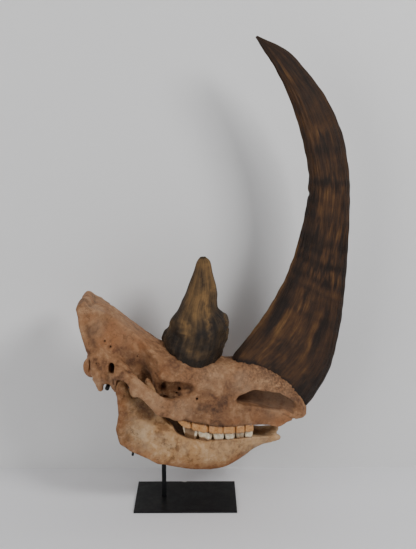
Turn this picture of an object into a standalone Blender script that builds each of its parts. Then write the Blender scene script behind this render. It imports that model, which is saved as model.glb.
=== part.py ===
"""A woolly rhinoceros skull with both horns, on a black metal stand, for Blender 4.5.

The frame: metres, +Z up, the origin at the centre of the base plate's underside, +X towards the nose.
The skull's mirror plane is Y = 0, so every bone shape is described on the right side of the animal,
which is -Y, with its distance from that plane as a positive width, and is then mirrored.
"""

import math

import bmesh
import bpy
import numpy as np
from mathutils import Vector

MM = 0.001

# The stand.
PLATE = (330, 224, 6)
PLATE_BEVEL = 1.0
POST_SIDE = 14
POST_X = -72
POST_TOP = 373
BRACKET_RADIUS = 7.0
SKULL_BAR = (-239, 418, 116)
JAW_ROD = (-163, 206, 130)
JAW_ROD_RADIUS = 4.0
JAW_ARM_Z = 172

# How finely the bones are skinned before their triangles are thinned out.
SKIN = 5.5
CRANIUM_TRIANGLES = 3600
MANDIBLE_TRIANGLES = 1900
MIDLINE_OVERLAP = 2.0
GAP = 1.0
TOOTH_GAP = 0.45
SOCKET_OVERRUN = 2.0

# The cranium's own lines, from its midline outwards: x, width from the midline, height.
ROOF = [(-302, 0, 664), (-263, 0, 655), (-236, 0, 643), (-212, 0, 625), (-188, 0, 606), (-163, 0, 588),
        (-140, 0, 569), (-115, 0, 552), (-84, 0, 540), (-40, 0, 527), (0, 0, 515), (50, 0, 500),
        (100, 0, 485), (130, 0, 479), (160, 0, 481), (220, 0, 486), (260, 0, 476), (300, 0, 456),
        (330, 0, 430), (360, 0, 392), (380, 0, 355), (391, 0, 322)]
TEMPORAL_LINE = [(-302, 90, 664), (-263, 73, 650), (-236, 62, 638), (-212, 57, 621), (-188, 54, 601),
                 (-163, 54, 582), (-140, 56, 562), (-115, 66, 541), (-84, 84, 516), (-40, 86, 503),
                 (0, 82, 494), (50, 68, 485), (100, 52, 476), (130, 44, 472), (160, 42, 473),
                 (220, 45, 476), (260, 43, 465), (300, 37, 447), (330, 31, 420), (360, 21, 384),
                 (380, 12, 347), (391, 5, 317)]
BROW = [(-302, 100, 628), (-263, 85, 618), (-236, 66, 606), (-212, 60, 588), (-188, 58, 568),
        (-163, 58, 549), (-140, 60, 530), (-115, 72, 509), (-84, 97, 484), (-50, 113, 463),
        (-20, 115, 462), (0, 110, 464), (30, 101, 456), (60, 92, 450), (100, 80, 447), (160, 68, 446),
        (220, 66, 448), (260, 66, 434), (300, 60, 413), (330, 52, 392), (360, 38, 359), (380, 24, 328),
        (391, 10, 308)]
RIM = [(-302, 105, 583), (-263, 86, 575), (-236, 73, 566), (-212, 67, 553), (-188, 63, 534), (-163, 61, 515),
       (-140, 61, 498), (-115, 68, 478), (-84, 86, 456), (-50, 117, 440), (-20, 119, 441), (10, 114, 430),
       (30, 105, 414), (60, 95, 409), (100, 86, 407), (160, 76, 404), (220, 79, 401), (260, 75, 391),
       (300, 66, 382), (330, 57, 365), (360, 44, 335), (380, 28, 306), (391, 12, 300)]
WALL = [(-302, 90, 533), (-263, 99, 525), (-236, 100, 512), (-212, 94, 503), (-188, 74, 498),
        (-163, 64, 484), (-140, 58, 466), (-115, 53, 450), (-84, 50, 437), (-50, 58, 430), (-20, 72, 424),
        (10, 100, 400), (30, 98, 391), (60, 92, 379), (100, 84, 371), (160, 75, 367), (220, 72, 367),
        (260, 64, 355), (300, 54, 345), (330, 46, 334), (360, 38, 317), (380, 26, 298), (391, 11, 298)]
CHEEK = [(-302, 80, 499), (-263, 104, 480), (-236, 106, 477), (-212, 97, 470), (-188, 80, 461),
         (-163, 66, 450), (-140, 56, 435), (-115, 48, 420), (-84, 46, 405), (-50, 54, 393),
         (-20, 84, 378), (10, 106, 362), (30, 103, 353), (60, 94, 345), (100, 86, 335), (160, 75, 326),
         (220, 66, 320), (260, 55, 312), (300, 45, 306), (330, 40, 300), (360, 34, 295), (380, 24, 290),
         (391, 10, 294)]
ALVEOLAR_EDGE = [(-302, 62, 462), (-263, 88, 442), (-236, 86, 440), (-212, 80, 440), (-188, 66, 435),
                 (-163, 54, 428), (-140, 46, 415), (-115, 42, 397), (-84, 42, 374), (-50, 50, 352),
                 (-20, 96, 316), (10, 101, 307), (60, 98, 296), (100, 94, 286), (160, 86, 283),
                 (220, 67, 281), (260, 49, 274), (300, 37, 262), (330, 33, 277), (360, 28, 284),
                 (380, 20, 287), (391, 8, 292)]
PALATE_EDGE = [(-302, 38, 440), (-263, 44, 430), (-212, 44, 425), (-163, 36, 420), (-115, 34, 385),
               (-84, 34, 348), (-50, 40, 334), (-20, 52, 318), (10, 54, 307), (60, 52, 296),
               (100, 50, 286), (160, 48, 283), (220, 42, 282), (260, 34, 275), (300, 26, 264),
               (330, 20, 279), (360, 16, 286), (380, 10, 289), (391, 4, 293)]
PALATE = [(-302, 0, 446), (-263, 0, 434), (-212, 0, 429), (-163, 0, 424), (-115, 0, 408), (-84, 0, 396),
          (-50, 0, 372), (-20, 0, 345), (10, 0, 333), (60, 0, 326), (100, 0, 318), (160, 0, 307),
          (220, 0, 299), (260, 0, 288), (300, 0, 274), (330, 0, 284), (360, 0, 289), (380, 0, 291),
          (391, 0, 294)]
CRANIUM_LINES = (ROOF, TEMPORAL_LINE, BROW, RIM, WALL, CHEEK, ALVEOLAR_EDGE, PALATE_EDGE, PALATE)

# The cheek arch, seen from the side, and how far out its middle lies along X.
ARCH_OUTLINE = [(-232, 500), (-208, 503), (-178, 491), (-141, 469), (-118, 449), (-91, 423), (-74, 405),
                (-46, 388), (-10, 390), (12, 386), (22, 350), (-5, 315), (-28, 315), (-50, 328), (-75, 336),
                (-91, 349), (-106, 368), (-127, 392), (-143, 403), (-160, 404), (-169, 424), (-181, 443),
                (-200, 452), (-226, 458)]
ARCH_WIDTH = [(-232, 106), (-205, 126), (-170, 146), (-140, 152), (-100, 146), (-60, 132), (-20, 111),
              (22, 90)]
ARCH_HALF = [(-232, 24), (-200, 19), (-150, 13), (-80, 13), (-30, 17), (22, 18)]

# The nasal opening, seen from the side. It is open down to the bony septum.
NASAL_OPENING = [(162, 360), (167, 373), (190, 386), (207, 395), (222, 398), (246, 393), (266, 390),
                 (295, 385), (316, 372), (337, 358), (350, 346), (359, 328), (366, 306), (352, 290),
                 (338, 303), (326, 314), (312, 320), (298, 319), (277, 324), (257, 329), (236, 336),
                 (207, 343), (185, 346), (169, 350)]
SEPTUM_HALF = 17

# The lower jaw, right half: x, width from the midline, height, round its section.
JAW_OUTER_TOP = [(-130, 114, 300), (-90, 112, 300), (-60, 108, 290), (-30, 100, 268), (0, 94, 250),
                 (50, 88, 235), (100, 82, 234), (150, 73, 235), (190, 66, 236), (215, 56, 234),
                 (250, 49, 233), (280, 50, 234), (303, 40, 230)]
JAW_OUTER = [(-130, 118, 250), (-90, 116, 240), (-60, 112, 230), (-30, 108, 210), (0, 103, 198),
             (50, 97, 190), (100, 88, 190), (150, 76, 196), (190, 64, 205), (215, 55, 212),
             (250, 48, 217), (280, 49, 222), (303, 40, 224)]
JAW_OUTER_LOW = [(-130, 116, 222), (-90, 106, 182), (-60, 102, 168), (-30, 96, 157), (0, 90, 149),
                 (50, 80, 142), (100, 68, 139), (150, 58, 150), (190, 50, 172), (215, 44, 188),
                 (250, 42, 204), (280, 44, 213), (303, 36, 219)]
JAW_LOW = [(-130, 112, 212), (-90, 88, 169), (-60, 84, 155), (-30, 78, 145), (0, 72, 137), (50, 62, 129),
           (100, 48, 126), (150, 34, 138), (190, 22, 160), (215, 16, 178), (250, 16, 199), (280, 18, 211),
           (303, 16, 219)]
JAW_INNER_LOW = [(-130, 108, 222), (-90, 74, 182), (-60, 66, 170), (-30, 58, 160), (0, 50, 152),
                 (50, 38, 145), (100, 22, 142), (150, 0, 150), (190, 0, 163), (215, 0, 180),
                 (250, 0, 200), (280, 0, 212), (303, 0, 220)]
JAW_INNER = [(-130, 106, 250), (-90, 76, 240), (-60, 68, 230), (-30, 60, 215), (0, 53, 200),
             (50, 44, 192), (100, 34, 188), (150, 14, 186), (190, 0, 192), (215, 0, 200), (250, 0, 212),
             (280, 0, 219), (303, 0, 222)]
JAW_INNER_TOP = [(-130, 108, 300), (-90, 84, 300), (-60, 76, 288), (-30, 68, 268), (0, 62, 250),
                 (50, 56, 236), (100, 50, 234), (150, 42, 234), (190, 36, 234), (215, 30, 232),
                 (250, 26, 228), (280, 28, 230), (303, 22, 228)]
JAW_LINES = (JAW_OUTER_TOP, JAW_OUTER, JAW_OUTER_LOW, JAW_LOW, JAW_INNER_LOW, JAW_INNER, JAW_INNER_TOP)
RAMUS_OUTLINE = [(-196, 432), (-206, 404), (-205, 373), (-200, 345), (-198, 326), (-201, 312), (-208, 300),
                 (-210, 286), (-207, 269), (-201, 252), (-189, 234), (-174, 219), (-147, 203), (-116, 184),
                 (-80, 163), (-45, 180), (-30, 240), (-34, 288), (-62, 318), (-82, 356), (-94, 400),
                 (-97, 440), (-108, 448), (-122, 444), (-132, 408), (-148, 390), (-163, 392), (-172, 412),
                 (-182, 432)]
RAMUS_WIDTH = [(-210, 126), (-180, 123), (-140, 117), (-100, 104), (-60, 95), (-30, 88)]
RAMUS_HALF = [(-210, 13), (-180, 12), (-140, 10), (-90, 11), (-50, 18), (-30, 20)]

# The nasal horn's front and back edges, each pair of points one section across it.
HORN_BACK = [(156, 462), (152, 484), (203, 552), (250, 619), (294, 697), (328, 770), (353, 851), (374, 945),
             (383, 1030), (378, 1095), (357, 1187), (318, 1298), (269, 1392), (240, 1431), (218, 1470)]
HORN_FRONT = [(386, 322), (402, 332), (452, 418), (478, 500), (494, 596), (502, 690), (508, 790), (512, 900),
              (510, 1020), (502, 1095), (480, 1193), (428, 1300), (352, 1395), (302, 1440), (229, 1479)]
HORN_THICKNESS = [104, 106, 100, 90, 84, 80, 77, 74, 70, 66, 60, 48, 35, 22, 7]
HORN_ARCH = [46, 46, 24, 8, 0, 0, 0, 0, 0, 0, 0, 0, 0, 0, 0]

# The frontal horn: back edge, front edge, then half width and height of its side, ring by ring.
FRONTAL_HORN = [((-70, 530), (108, 478), 88, 468), ((-72, 544), (120, 512), 93, 492),
                ((-66, 560), (134, 556), 88, 530), ((-52, 585), (139, 600), 77, 570),
                ((-45, 608), (132, 621), 66, 605), ((-25, 636), (107, 643), 56, 638),
                ((-11, 667), (102, 668), 49, 667), ((2, 693), (102, 693), 44, 693),
                ((15, 728), (96, 726), 37, 727), ((28, 763), (87, 758), 30, 760),
                ((38, 794), (79, 794), 21, 794), ((48, 808), (64, 810), 8, 809)]
HORN_SIDES = 18

# Teeth: name, x at the back, x at the front. The two rows bite along BITE.
UPPER_TEETH = [("m3", -22, 17), ("m2", 19, 71), ("m1", 73, 117), ("p4", 119, 156), ("p3", 158, 185),
               ("p2", 187, 213)]
LOWER_TEETH = [("m3", -8, 37), ("m2", 42, 85), ("m1", 88, 121), ("p4", 124, 155), ("p3", 159, 185),
               ("p2", 188, 213)]
BITE = [(-30, 292), (0, 281), (40, 268), (80, 260), (150, 257), (220, 259)]
UPPER_ROW = [(-30, 101), (20, 99), (70, 97), (120, 93), (160, 88), (215, 74)]
LOWER_ROW = [(-30, 92), (40, 86), (90, 82), (150, 75), (215, 61)]
UPPER_TOOTH_DEPTH = 46
LOWER_TOOTH_DEPTH = 28
UPPER_ROOT_Z = 40
LOWER_ROOT_Z = 36
BITE_GAP = 1.2

BONE = (0.50, 0.33, 0.19, 1)
JAW_BONE = (0.56, 0.40, 0.25, 1)
DARK_HORN = (0.06, 0.035, 0.022, 1)
OLIVE_HORN = (0.20, 0.13, 0.07, 1)
UPPER_ENAMEL = (0.58, 0.33, 0.12, 1)
LOWER_ENAMEL = (0.62, 0.57, 0.47, 1)
BLACK_PAINT = (0.012, 0.012, 0.013, 1)


def clear_scene():
    for item in list(bpy.data.objects):
        bpy.data.objects.remove(item)


def collection(name, shown=True):
    made = bpy.data.collections.new(name)
    bpy.context.scene.collection.children.link(made)
    made.hide_render = not shown
    return made


def material(name, colour, roughness, metallic=0.0):
    made = bpy.data.materials.new(name)
    made.use_nodes = True
    principled = made.node_tree.nodes["Principled BSDF"]
    principled.inputs["Base Color"].default_value = colour
    principled.inputs["Roughness"].default_value = roughness
    principled.inputs["Metallic"].default_value = metallic
    return made


def curve_at(points, x):
    """A smooth curve through (x, value, ...) points, read at x: cubic pieces with matching slopes."""
    points = np.array(points, float)
    xs = points[:, 0]
    values = points[:, 1:]
    slopes = np.gradient(values, xs, axis=0)
    x = np.clip(np.asarray(x, float), xs[0], xs[-1])
    i = np.clip(np.searchsorted(xs, x, side="right") - 1, 0, len(xs) - 2)
    step = xs[i + 1] - xs[i]
    t = (x - xs[i]) / step
    t, step = np.atleast_1d(t)[:, None], np.atleast_1d(step)[:, None]
    i = np.atleast_1d(i)
    start, end = values[i], values[i + 1]
    read = (
        (2 * t**3 - 3 * t**2 + 1) * start
        + (t**3 - 2 * t**2 + t) * step * slopes[i]
        + (3 * t**2 - 2 * t**3) * end
        + (t**3 - t**2) * step * slopes[i + 1]
    )
    return read


def new_object(name, mesh, group, look=None):
    made = bpy.data.objects.new(name, mesh)
    group.objects.link(made)
    if look:
        mesh.materials.clear()
        mesh.materials.append(look)
    return made


def helper(obj):
    """Marks a cutter or other helper, so that it isn't drawn."""
    obj.hide_render = True
    obj.display_type = "WIRE"
    return obj


def loft(rings):
    """A closed surface through equal rings of points in millimetres, capped at both ends."""
    rings = np.asarray(rings, float) * MM
    count, sides = rings.shape[:2]
    faces = [
        (r * sides + s, r * sides + (s + 1) % sides, (r + 1) * sides + (s + 1) % sides, (r + 1) * sides + s)
        for r in range(count - 1)
        for s in range(sides)
    ]
    faces += [tuple(range(sides))[::-1], tuple(range((count - 1) * sides, count * sides))]
    mesh = bpy.data.meshes.new("loft")
    mesh.from_pydata(rings.reshape(-1, 3).tolist(), [], faces)
    return outward(mesh)


def outward(mesh):
    work = bmesh.new()
    work.from_mesh(mesh)
    bmesh.ops.recalc_face_normals(work, faces=work.faces)
    work.to_mesh(mesh)
    work.free()
    return mesh


def blob(centre, radii, turn=(0, 0, 0)):
    """An ellipsoid, with its centre and radii in millimetres and its turn in degrees."""
    bpy.ops.mesh.primitive_uv_sphere_add(segments=24, ring_count=14, radius=MM)
    ball = bpy.context.object
    ball.scale = radii
    ball.rotation_euler = [math.radians(angle) for angle in turn]
    ball.location = Vector(centre) * MM
    return baked(ball)


def baked(obj):
    """The object's evaluated mesh in world space. The object itself is removed."""
    bpy.context.view_layer.update()
    graph = bpy.context.evaluated_depsgraph_get()
    mesh = bpy.data.meshes.new_from_object(obj.evaluated_get(graph))
    mesh.transform(obj.matrix_world)
    bpy.data.objects.remove(obj)
    work = bmesh.new()
    work.from_mesh(mesh)
    bmesh.ops.remove_doubles(work, verts=work.verts, dist=1e-5)
    bmesh.ops.recalc_face_normals(work, faces=work.faces)
    work.to_mesh(mesh)
    work.free()
    return mesh


def tube(points, radii):
    """A rod through the points, as thick as its own radius at each, with capped ends."""
    data = bpy.data.curves.new("tube", "CURVE")
    data.dimensions = "3D"
    data.bevel_depth = MM
    data.bevel_resolution = 3
    data.use_fill_caps = True
    spline = data.splines.new("POLY")
    spline.points.add(len(points) - 1)
    for target, point, radius in zip(spline.points, points, radii):
        target.co = (*(Vector(point) * MM), 1)
        target.radius = radius
    obj = bpy.data.objects.new("tube", data)
    bpy.context.scene.collection.objects.link(obj)
    return baked(obj)


def slab(outline, widths, halves):
    """A flat outline in X and Z, made thick, then bent sideways so that its middle follows widths."""
    data = bpy.data.curves.new("slab", "CURVE")
    data.dimensions = "2D"
    data.fill_mode = "BOTH"
    data.extrude = 1.0
    spline = data.splines.new("POLY")
    spline.points.add(len(outline) - 1)
    for target, (x, z) in zip(spline.points, outline):
        target.co = (x * MM, z * MM, 0, 1)
    spline.use_cyclic_u = True
    obj = bpy.data.objects.new("slab", data)
    bpy.context.scene.collection.objects.link(obj)
    mesh = baked(obj)
    cut_along_x(mesh, min(x for x, _ in outline), max(x for x, _ in outline), 14)
    points = np.empty(len(mesh.vertices) * 3)
    mesh.vertices.foreach_get("co", points)
    flat = points.reshape(-1, 3)
    x = flat[:, 0] / MM
    middle = curve_at(widths, x)[:, 0]
    half = curve_at(halves, x)[:, 0]
    bent = np.stack([flat[:, 0], -(middle - np.sign(flat[:, 2]) * half) * MM, flat[:, 1]], axis=1)
    mesh.vertices.foreach_set("co", bent.ravel())
    return outward(mesh)


def cut_along_x(mesh, low, high, step):
    """Extra edges across a slab, so that it can bend."""
    work = bmesh.new()
    work.from_mesh(mesh)
    for x in np.arange(low + step, high, step):
        everything = work.verts[:] + work.edges[:] + work.faces[:]
        bmesh.ops.bisect_plane(work, geom=everything, plane_co=(x * MM, 0, 0), plane_no=(1, 0, 0))
    work.to_mesh(mesh)
    work.free()


def joined(meshes):
    work = bmesh.new()
    for mesh in meshes:
        work.from_mesh(mesh)
    made = bpy.data.meshes.new("joined")
    work.to_mesh(made)
    work.free()
    for mesh in meshes:
        bpy.data.meshes.remove(mesh)
    return made


def add_modifier(obj, kind, **settings):
    made = obj.modifiers.new(kind.lower(), kind)
    for name, value in settings.items():
        setattr(made, name, value)
    return made


def skin_over(obj, smoothing, voxel=SKIN):
    """Makes overlapping shapes one closed skin and softens its corners."""
    add_modifier(obj, "REMESH", mode="VOXEL", voxel_size=voxel * MM)
    add_modifier(obj, "SMOOTH", factor=0.5, iterations=smoothing)


def mirrored(obj):
    add_modifier(obj, "MIRROR", use_axis=(False, True, False), use_mirror_merge=False)


def thinned(obj, target):
    """Bakes the object and thins it to about the target number of triangles."""
    bpy.context.view_layer.update()
    graph = bpy.context.evaluated_depsgraph_get()
    mesh = bpy.data.meshes.new_from_object(obj.evaluated_get(graph))
    obj.modifiers.clear()
    mesh.materials.clear()
    mesh.materials.append(obj.data.materials[0])
    obj.data = mesh
    triangles = sum(len(face.vertices) - 2 for face in mesh.polygons)
    add_modifier(obj, "DECIMATE", ratio=target / triangles)


def section_rings(lines, xs, sides):
    """Level rings across the named lines, one at each x, rounded between the lines."""
    corners = np.stack([curve_at(line, xs) for line in lines], axis=1)
    steps = np.arange(len(lines))
    fine = np.linspace(0, len(lines) - 1, sides)
    rings = []
    for x, ring in zip(xs, corners):
        smooth = curve_at(np.column_stack([steps, ring]), fine)
        rings.append(np.column_stack([np.full(sides, x), -smooth[:, 0], smooth[:, 1]]))
    return np.array(rings)


def cranium_core():
    """The brain case, face and snout: the named lines joined round, closed just past the midline."""
    xs = np.arange(ROOF[0][0], ROOF[-1][0] + 1, 9.9)
    rings = section_rings(CRANIUM_LINES, xs, 30)
    rings[:, 0, 1] = MIDLINE_OVERLAP
    rings[:, -1, 1] = MIDLINE_OVERLAP
    return loft(rings)


def cranium_additions():
    """What stands out from the core: crest, condyle, the two spurs and the web between them, and the arch."""
    return [
        tube([(-312, 2, 664), (-318, -50, 666), (-322, -84, 664), (-318, -97, 655)], [19, 19, 18, 14]),
        tube([(-322, -96, 652), (-312, -101, 615), (-298, -100, 572), (-290, -90, 530)], [11, 11, 11, 11]),
        blob((-294, -44, 462), (27, 25, 33), (0, -8, 0)),
        tube([(-274, -92, 510), (-268, -97, 455), (-263, -98, 425), (-261, -98, 408)], [20, 19, 14, 7]),
        tube([(-226, -100, 480), (-222, -104, 440), (-219, -104, 418), (-217, -104, 406)], [19, 14, 10, 6]),
        tube([(-264, -94, 466), (-242, -96, 462), (-222, -98, 464)], [25, 24, 22]),
        blob((-212, -108, 480), (38, 40, 28), (0, 20, 0)),
        tube([(-250, -78, 500), (-215, -96, 492), (-180, -116, 478)], [30, 26, 17]),
        slab(ARCH_OUTLINE, ARCH_WIDTH, ARCH_HALF),
        blob((-52, -104, 455), (30, 18, 16), (0, 0, 0)),
        tube([(-62, -42, 400), (-66, -40, 350), (-58, -40, 322)], [14, 9, 6]),
    ]


def cranium_hollows():
    """What is carved away: orbit, nasal opening, ear opening, palate, gullet and the holes behind."""
    opening = slab(NASAL_OPENING, [(160, 67 + SEPTUM_HALF), (370, 67 + SEPTUM_HALF)], [(160, 67), (370, 67)])
    return [
        opening,
        blob((-26, -118, 415), (48, 62, 27), (0, -4, 0)),
        blob((-78, -100, 425), (46, 40, 30), (0, 28, 0)),
        blob((-228, -122, 476), (9, 34, 18), (0, 0, 0)),
        tube([(-236, -124, 462), (-241, -112, 426), (-242, -98, 394)], [5, 9, 12]),
        tube([(-190, -84, 424), (-190, -172, 424)], [20, 20]),
        tube([(-130, 2, 348), (-60, 2, 352), (-10, 2, 356)], [22, 24, 16]),
        blob((-300, 2, 487), (75, 27, 20)),
        blob((-332, -50, 590), (36, 42, 62), (0, 4, 0)),
        tube([(338, -60, 296), (349, -8, 296)], [4.5, 4.5]),
    ]


def build_cranium(parts, cutters, look):
    obj = new_object("cranium", joined([cranium_core()] + cranium_additions()), parts, look)
    mirrored(obj)
    skin_over(obj, 3)
    hollow = helper(new_object("cranium_hollows", joined(cranium_hollows()), cutters))
    mirrored(hollow)
    skin_over(hollow, 1)
    add_modifier(obj, "BOOLEAN", operation="DIFFERENCE", object=hollow, solver="EXACT")
    skin_over(obj, 5)
    thinned(obj, CRANIUM_TRIANGLES)
    return obj


def jaw_body():
    """One half of the jaw's body and the chin, with its section lofted along X."""
    xs = np.arange(JAW_LOW[0][0], JAW_LOW[-1][0] + 1, 9.8)
    rings = section_rings(JAW_LINES, xs, 22)
    rings[..., 1] = np.where(rings[..., 1] > -0.5, MIDLINE_OVERLAP, rings[..., 1])
    return loft(rings)


def jaw_additions():
    return [
        slab(RAMUS_OUTLINE, RAMUS_WIDTH, RAMUS_HALF),
        tube([(-190, -92, 424), (-191, -120, 428), (-190, -146, 424)], [12, 13, 11]),
        tube([(-190, -122, 420), (-196, -126, 380), (-193, -127, 335), (-198, -128, 290), (-190, -126, 250)],
             [13, 12, 12, 15, 14]),
        tube([(290, -34, 226), (303, -38, 226)], [12, 7]),
    ]


def build_mandible(parts, cutters, look):
    obj = new_object("mandible", joined([jaw_body()] + jaw_additions()), parts, look)
    mirrored(obj)
    skin_over(obj, 3)
    x, z, half = JAW_ROD
    groove = tube([(x, -half - 12, z), (x, half + 12, z)], [JAW_ROD_RADIUS + 2 * GAP] * 2)
    trough = tube([(150, 2, 262), (215, 2, 248), (300, 2, 246), (330, 2, 250)], [26, 23, 20, 22])
    hollow = helper(new_object("mandible_hollows", joined([trough, groove]), cutters))
    add_modifier(obj, "BOOLEAN", operation="DIFFERENCE", object=hollow, solver="EXACT")
    skin_over(obj, 4)
    thinned(obj, MANDIBLE_TRIANGLES)
    return obj


def horn_rings(back, front, thickness, arch):
    """Oval rings, each across one pair of edge points, blunter in front and arched over the snout."""
    turn = np.linspace(0, 2 * math.pi, HORN_SIDES, endpoint=False)
    rings = []
    for (bx, bz), (fx, fz), wide, rise in zip(back, front, thickness, arch):
        along = 0.5 * (1 + np.cos(turn))
        across = np.sin(turn) * (1 - 0.12 * np.cos(turn)) * wide / 2
        z = bz + (fz - bz) * along + 4 * rise * along * (1 - along)
        rings.append(np.column_stack([bx + (fx - bx) * along, across, z]))
    return np.array(rings)


def seat_cutter(cranium, cutters):
    """The cranium grown by the gap, which hollows each horn's foot to sit over the bone."""
    bpy.context.view_layer.update()
    graph = bpy.context.evaluated_depsgraph_get()
    mesh = bpy.data.meshes.new_from_object(cranium.evaluated_get(graph))
    grown = helper(new_object("seat_cutter", mesh, cutters))
    add_modifier(grown, "DISPLACE", strength=2 * GAP * MM, mid_level=0)
    return grown


def build_nasal_horn(parts, seat, look):
    rings = horn_rings(HORN_BACK, HORN_FRONT, HORN_THICKNESS, HORN_ARCH)
    obj = new_object("nasal_horn", loft(rings), parts, look)
    add_modifier(obj, "BOOLEAN", operation="DIFFERENCE", object=seat, solver="EXACT")
    return obj


def build_frontal_horn(parts, seat, look):
    """Ovals that hang lower at the sides than on the midline, as the skirt straddles the forehead."""
    turn = np.linspace(0, 2 * math.pi, HORN_SIDES, endpoint=False)
    forward = np.cos(turn)
    rings = []
    for (bx, bz), (fx, fz), half, side_z in FRONTAL_HORN:
        x = (bx + fx) / 2 + forward * (fx - bx) / 2
        end_z = np.where(forward > 0, fz, bz)
        rings.append(np.column_stack([x, np.sin(turn) * half, side_z + (end_z - side_z) * forward**2]))
    obj = new_object("frontal_horn", loft(np.array(rings)), parts, look)
    add_modifier(obj, "BOOLEAN", operation="DIFFERENCE", object=seat, solver="EXACT")


def tooth_block(back, front, outer, depth, low, high, grow=0.0, lengthen=0.0):
    """One tooth's block in millimetres: a box with its long sides along the row, its corners cut."""
    bpy.ops.mesh.primitive_cube_add(size=1)
    block = bpy.context.object
    length = front - back
    turn = math.atan2(outer[0] - outer[1], length)
    middle_y = -(outer[0] + outer[1]) / 2 + depth / 2
    block.scale = ((length + 2 * lengthen) * MM, (depth + 2 * grow) * MM, (high - low + 2 * grow) * MM)
    block.location = Vector(((back + front) / 2, middle_y, (low + high) / 2)) * MM
    block.rotation_euler.z = turn
    bpy.ops.object.transform_apply(location=False, rotation=False, scale=True)
    add_modifier(block, "BEVEL", width=3 * MM, segments=1)
    return baked(block)


def tooth_rows():
    """Every tooth of the right side: name, then the arguments of its block, clear of the bite's curve."""
    for name, back, front in UPPER_TEETH:
        outer = [float(curve_at(UPPER_ROW, x)[0, 0]) for x in (back, front)]
        bite = float(curve_at(BITE, np.linspace(back, front, 9)).max())
        depth = UPPER_TOOTH_DEPTH * (1 if name.startswith("m") else 0.8)
        yield "upper_" + name, (back, front, outer, depth, bite + BITE_GAP / 2, bite + UPPER_ROOT_Z)
    for name, back, front in LOWER_TEETH:
        outer = [float(curve_at(LOWER_ROW, x)[0, 0]) for x in (back, front)]
        bite = float(curve_at(BITE, np.linspace(back, front, 9)).min())
        low, high = bite - LOWER_ROOT_Z, bite - BITE_GAP / 2
        yield "lower_" + name, (back, front, outer, LOWER_TOOTH_DEPTH, low, high)


def mirror_mesh(mesh):
    """The same mesh on the other side of the midline."""
    copy = mesh.copy()
    for vertex in copy.vertices:
        vertex.co.y = -vertex.co.y
    return outward(copy)


def build_teeth(parts, cutters, cranium, mandible, looks):
    """Two teeth of each name, and the sockets that they stand in, which run into one slot a side."""
    for jaw, bone in (("upper", cranium), ("lower", mandible)):
        sockets = []
        for name, block in tooth_rows():
            if not name.startswith(jaw):
                continue
            right = tooth_block(*block)
            new_object(name + "_right", right, parts, looks[jaw])
            new_object(name + "_left", mirror_mesh(right), parts, looks[jaw])
            socket = tooth_block(*block, grow=TOOTH_GAP, lengthen=SOCKET_OVERRUN)
            sockets += [socket, mirror_mesh(socket)]
        cutter = helper(new_object(jaw + "_sockets", joined(sockets), cutters))
        add_modifier(bone, "BOOLEAN", operation="DIFFERENCE", object=cutter, solver="EXACT", use_self=True)


def build_plate(parts, look):
    bpy.ops.mesh.primitive_cube_add(size=1)
    plate = bpy.context.object
    plate.scale = Vector(PLATE) * MM
    plate.location.z = PLATE[2] / 2 * MM
    bpy.ops.object.transform_apply(location=False, rotation=False, scale=True)
    add_modifier(plate, "BEVEL", width=PLATE_BEVEL * MM, segments=1)
    new_object("base_plate", baked(plate), parts, look)


def build_post(parts, look):
    low, high = PLATE[2] + 0.3, POST_TOP
    bpy.ops.mesh.primitive_cube_add(size=1)
    post = bpy.context.object
    post.scale = (POST_SIDE * MM, POST_SIDE * MM, (high - low) * MM)
    post.location = (POST_X * MM, 0, (low + high) / 2 * MM)
    bpy.ops.object.transform_apply(location=False, rotation=False, scale=True)
    add_modifier(post, "BEVEL", width=0.8 * MM, segments=1)
    new_object("post", baked(post), parts, look)


def build_brackets(parts, look):
    """The two brackets: an arm from the post's back face to a bar across, one for each bone."""
    face = POST_X - POST_SIDE / 2 - 0.3
    for name, (x, z, half), start_z, radius in (
        ("skull_bracket", SKULL_BAR, POST_TOP - 30, BRACKET_RADIUS),
        ("jaw_bracket", JAW_ROD, JAW_ARM_Z, JAW_ROD_RADIUS),
    ):
        arm = tube([(face, 0, start_z), (face - 25, 0, start_z), (x, 0, z)], [radius] * 3)
        bar = tube([(x, -half, z), (x, half, z)], [radius] * 2)
        obj = new_object(name, arm, parts, look)
        cross = helper(new_object(name + "_bar", bar, bpy.data.collections["cutters"]))
        add_modifier(obj, "BOOLEAN", operation="UNION", object=cross, solver="EXACT")


def shade(parts):
    for obj in parts.objects:
        obj.data.shade_smooth()
        obj.data.set_sharp_from_angle(angle=math.radians(50))


def main():
    clear_scene()
    parts = collection("woolly_rhinoceros_skull")
    cutters = collection("cutters", shown=False)
    bone = material("bone", BONE, 0.75)
    jaw_bone = material("jaw_bone", JAW_BONE, 0.75)
    dark_horn = material("dark_horn", DARK_HORN, 0.55)
    olive_horn = material("olive_horn", OLIVE_HORN, 0.6)
    enamel = {
        "upper": material("upper_enamel", UPPER_ENAMEL, 0.5),
        "lower": material("lower_enamel", LOWER_ENAMEL, 0.4),
    }
    paint = material("black_paint", BLACK_PAINT, 0.45)
    cranium = build_cranium(parts, cutters, bone)
    mandible = build_mandible(parts, cutters, jaw_bone)
    seat = seat_cutter(cranium, cutters)
    build_nasal_horn(parts, seat, dark_horn)
    build_frontal_horn(parts, seat, olive_horn)
    build_teeth(parts, cutters, cranium, mandible, enamel)
    build_plate(parts, paint)
    build_post(parts, paint)
    build_brackets(parts, paint)
    shade(parts)


if __name__ == "__main__":
    main()
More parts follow.
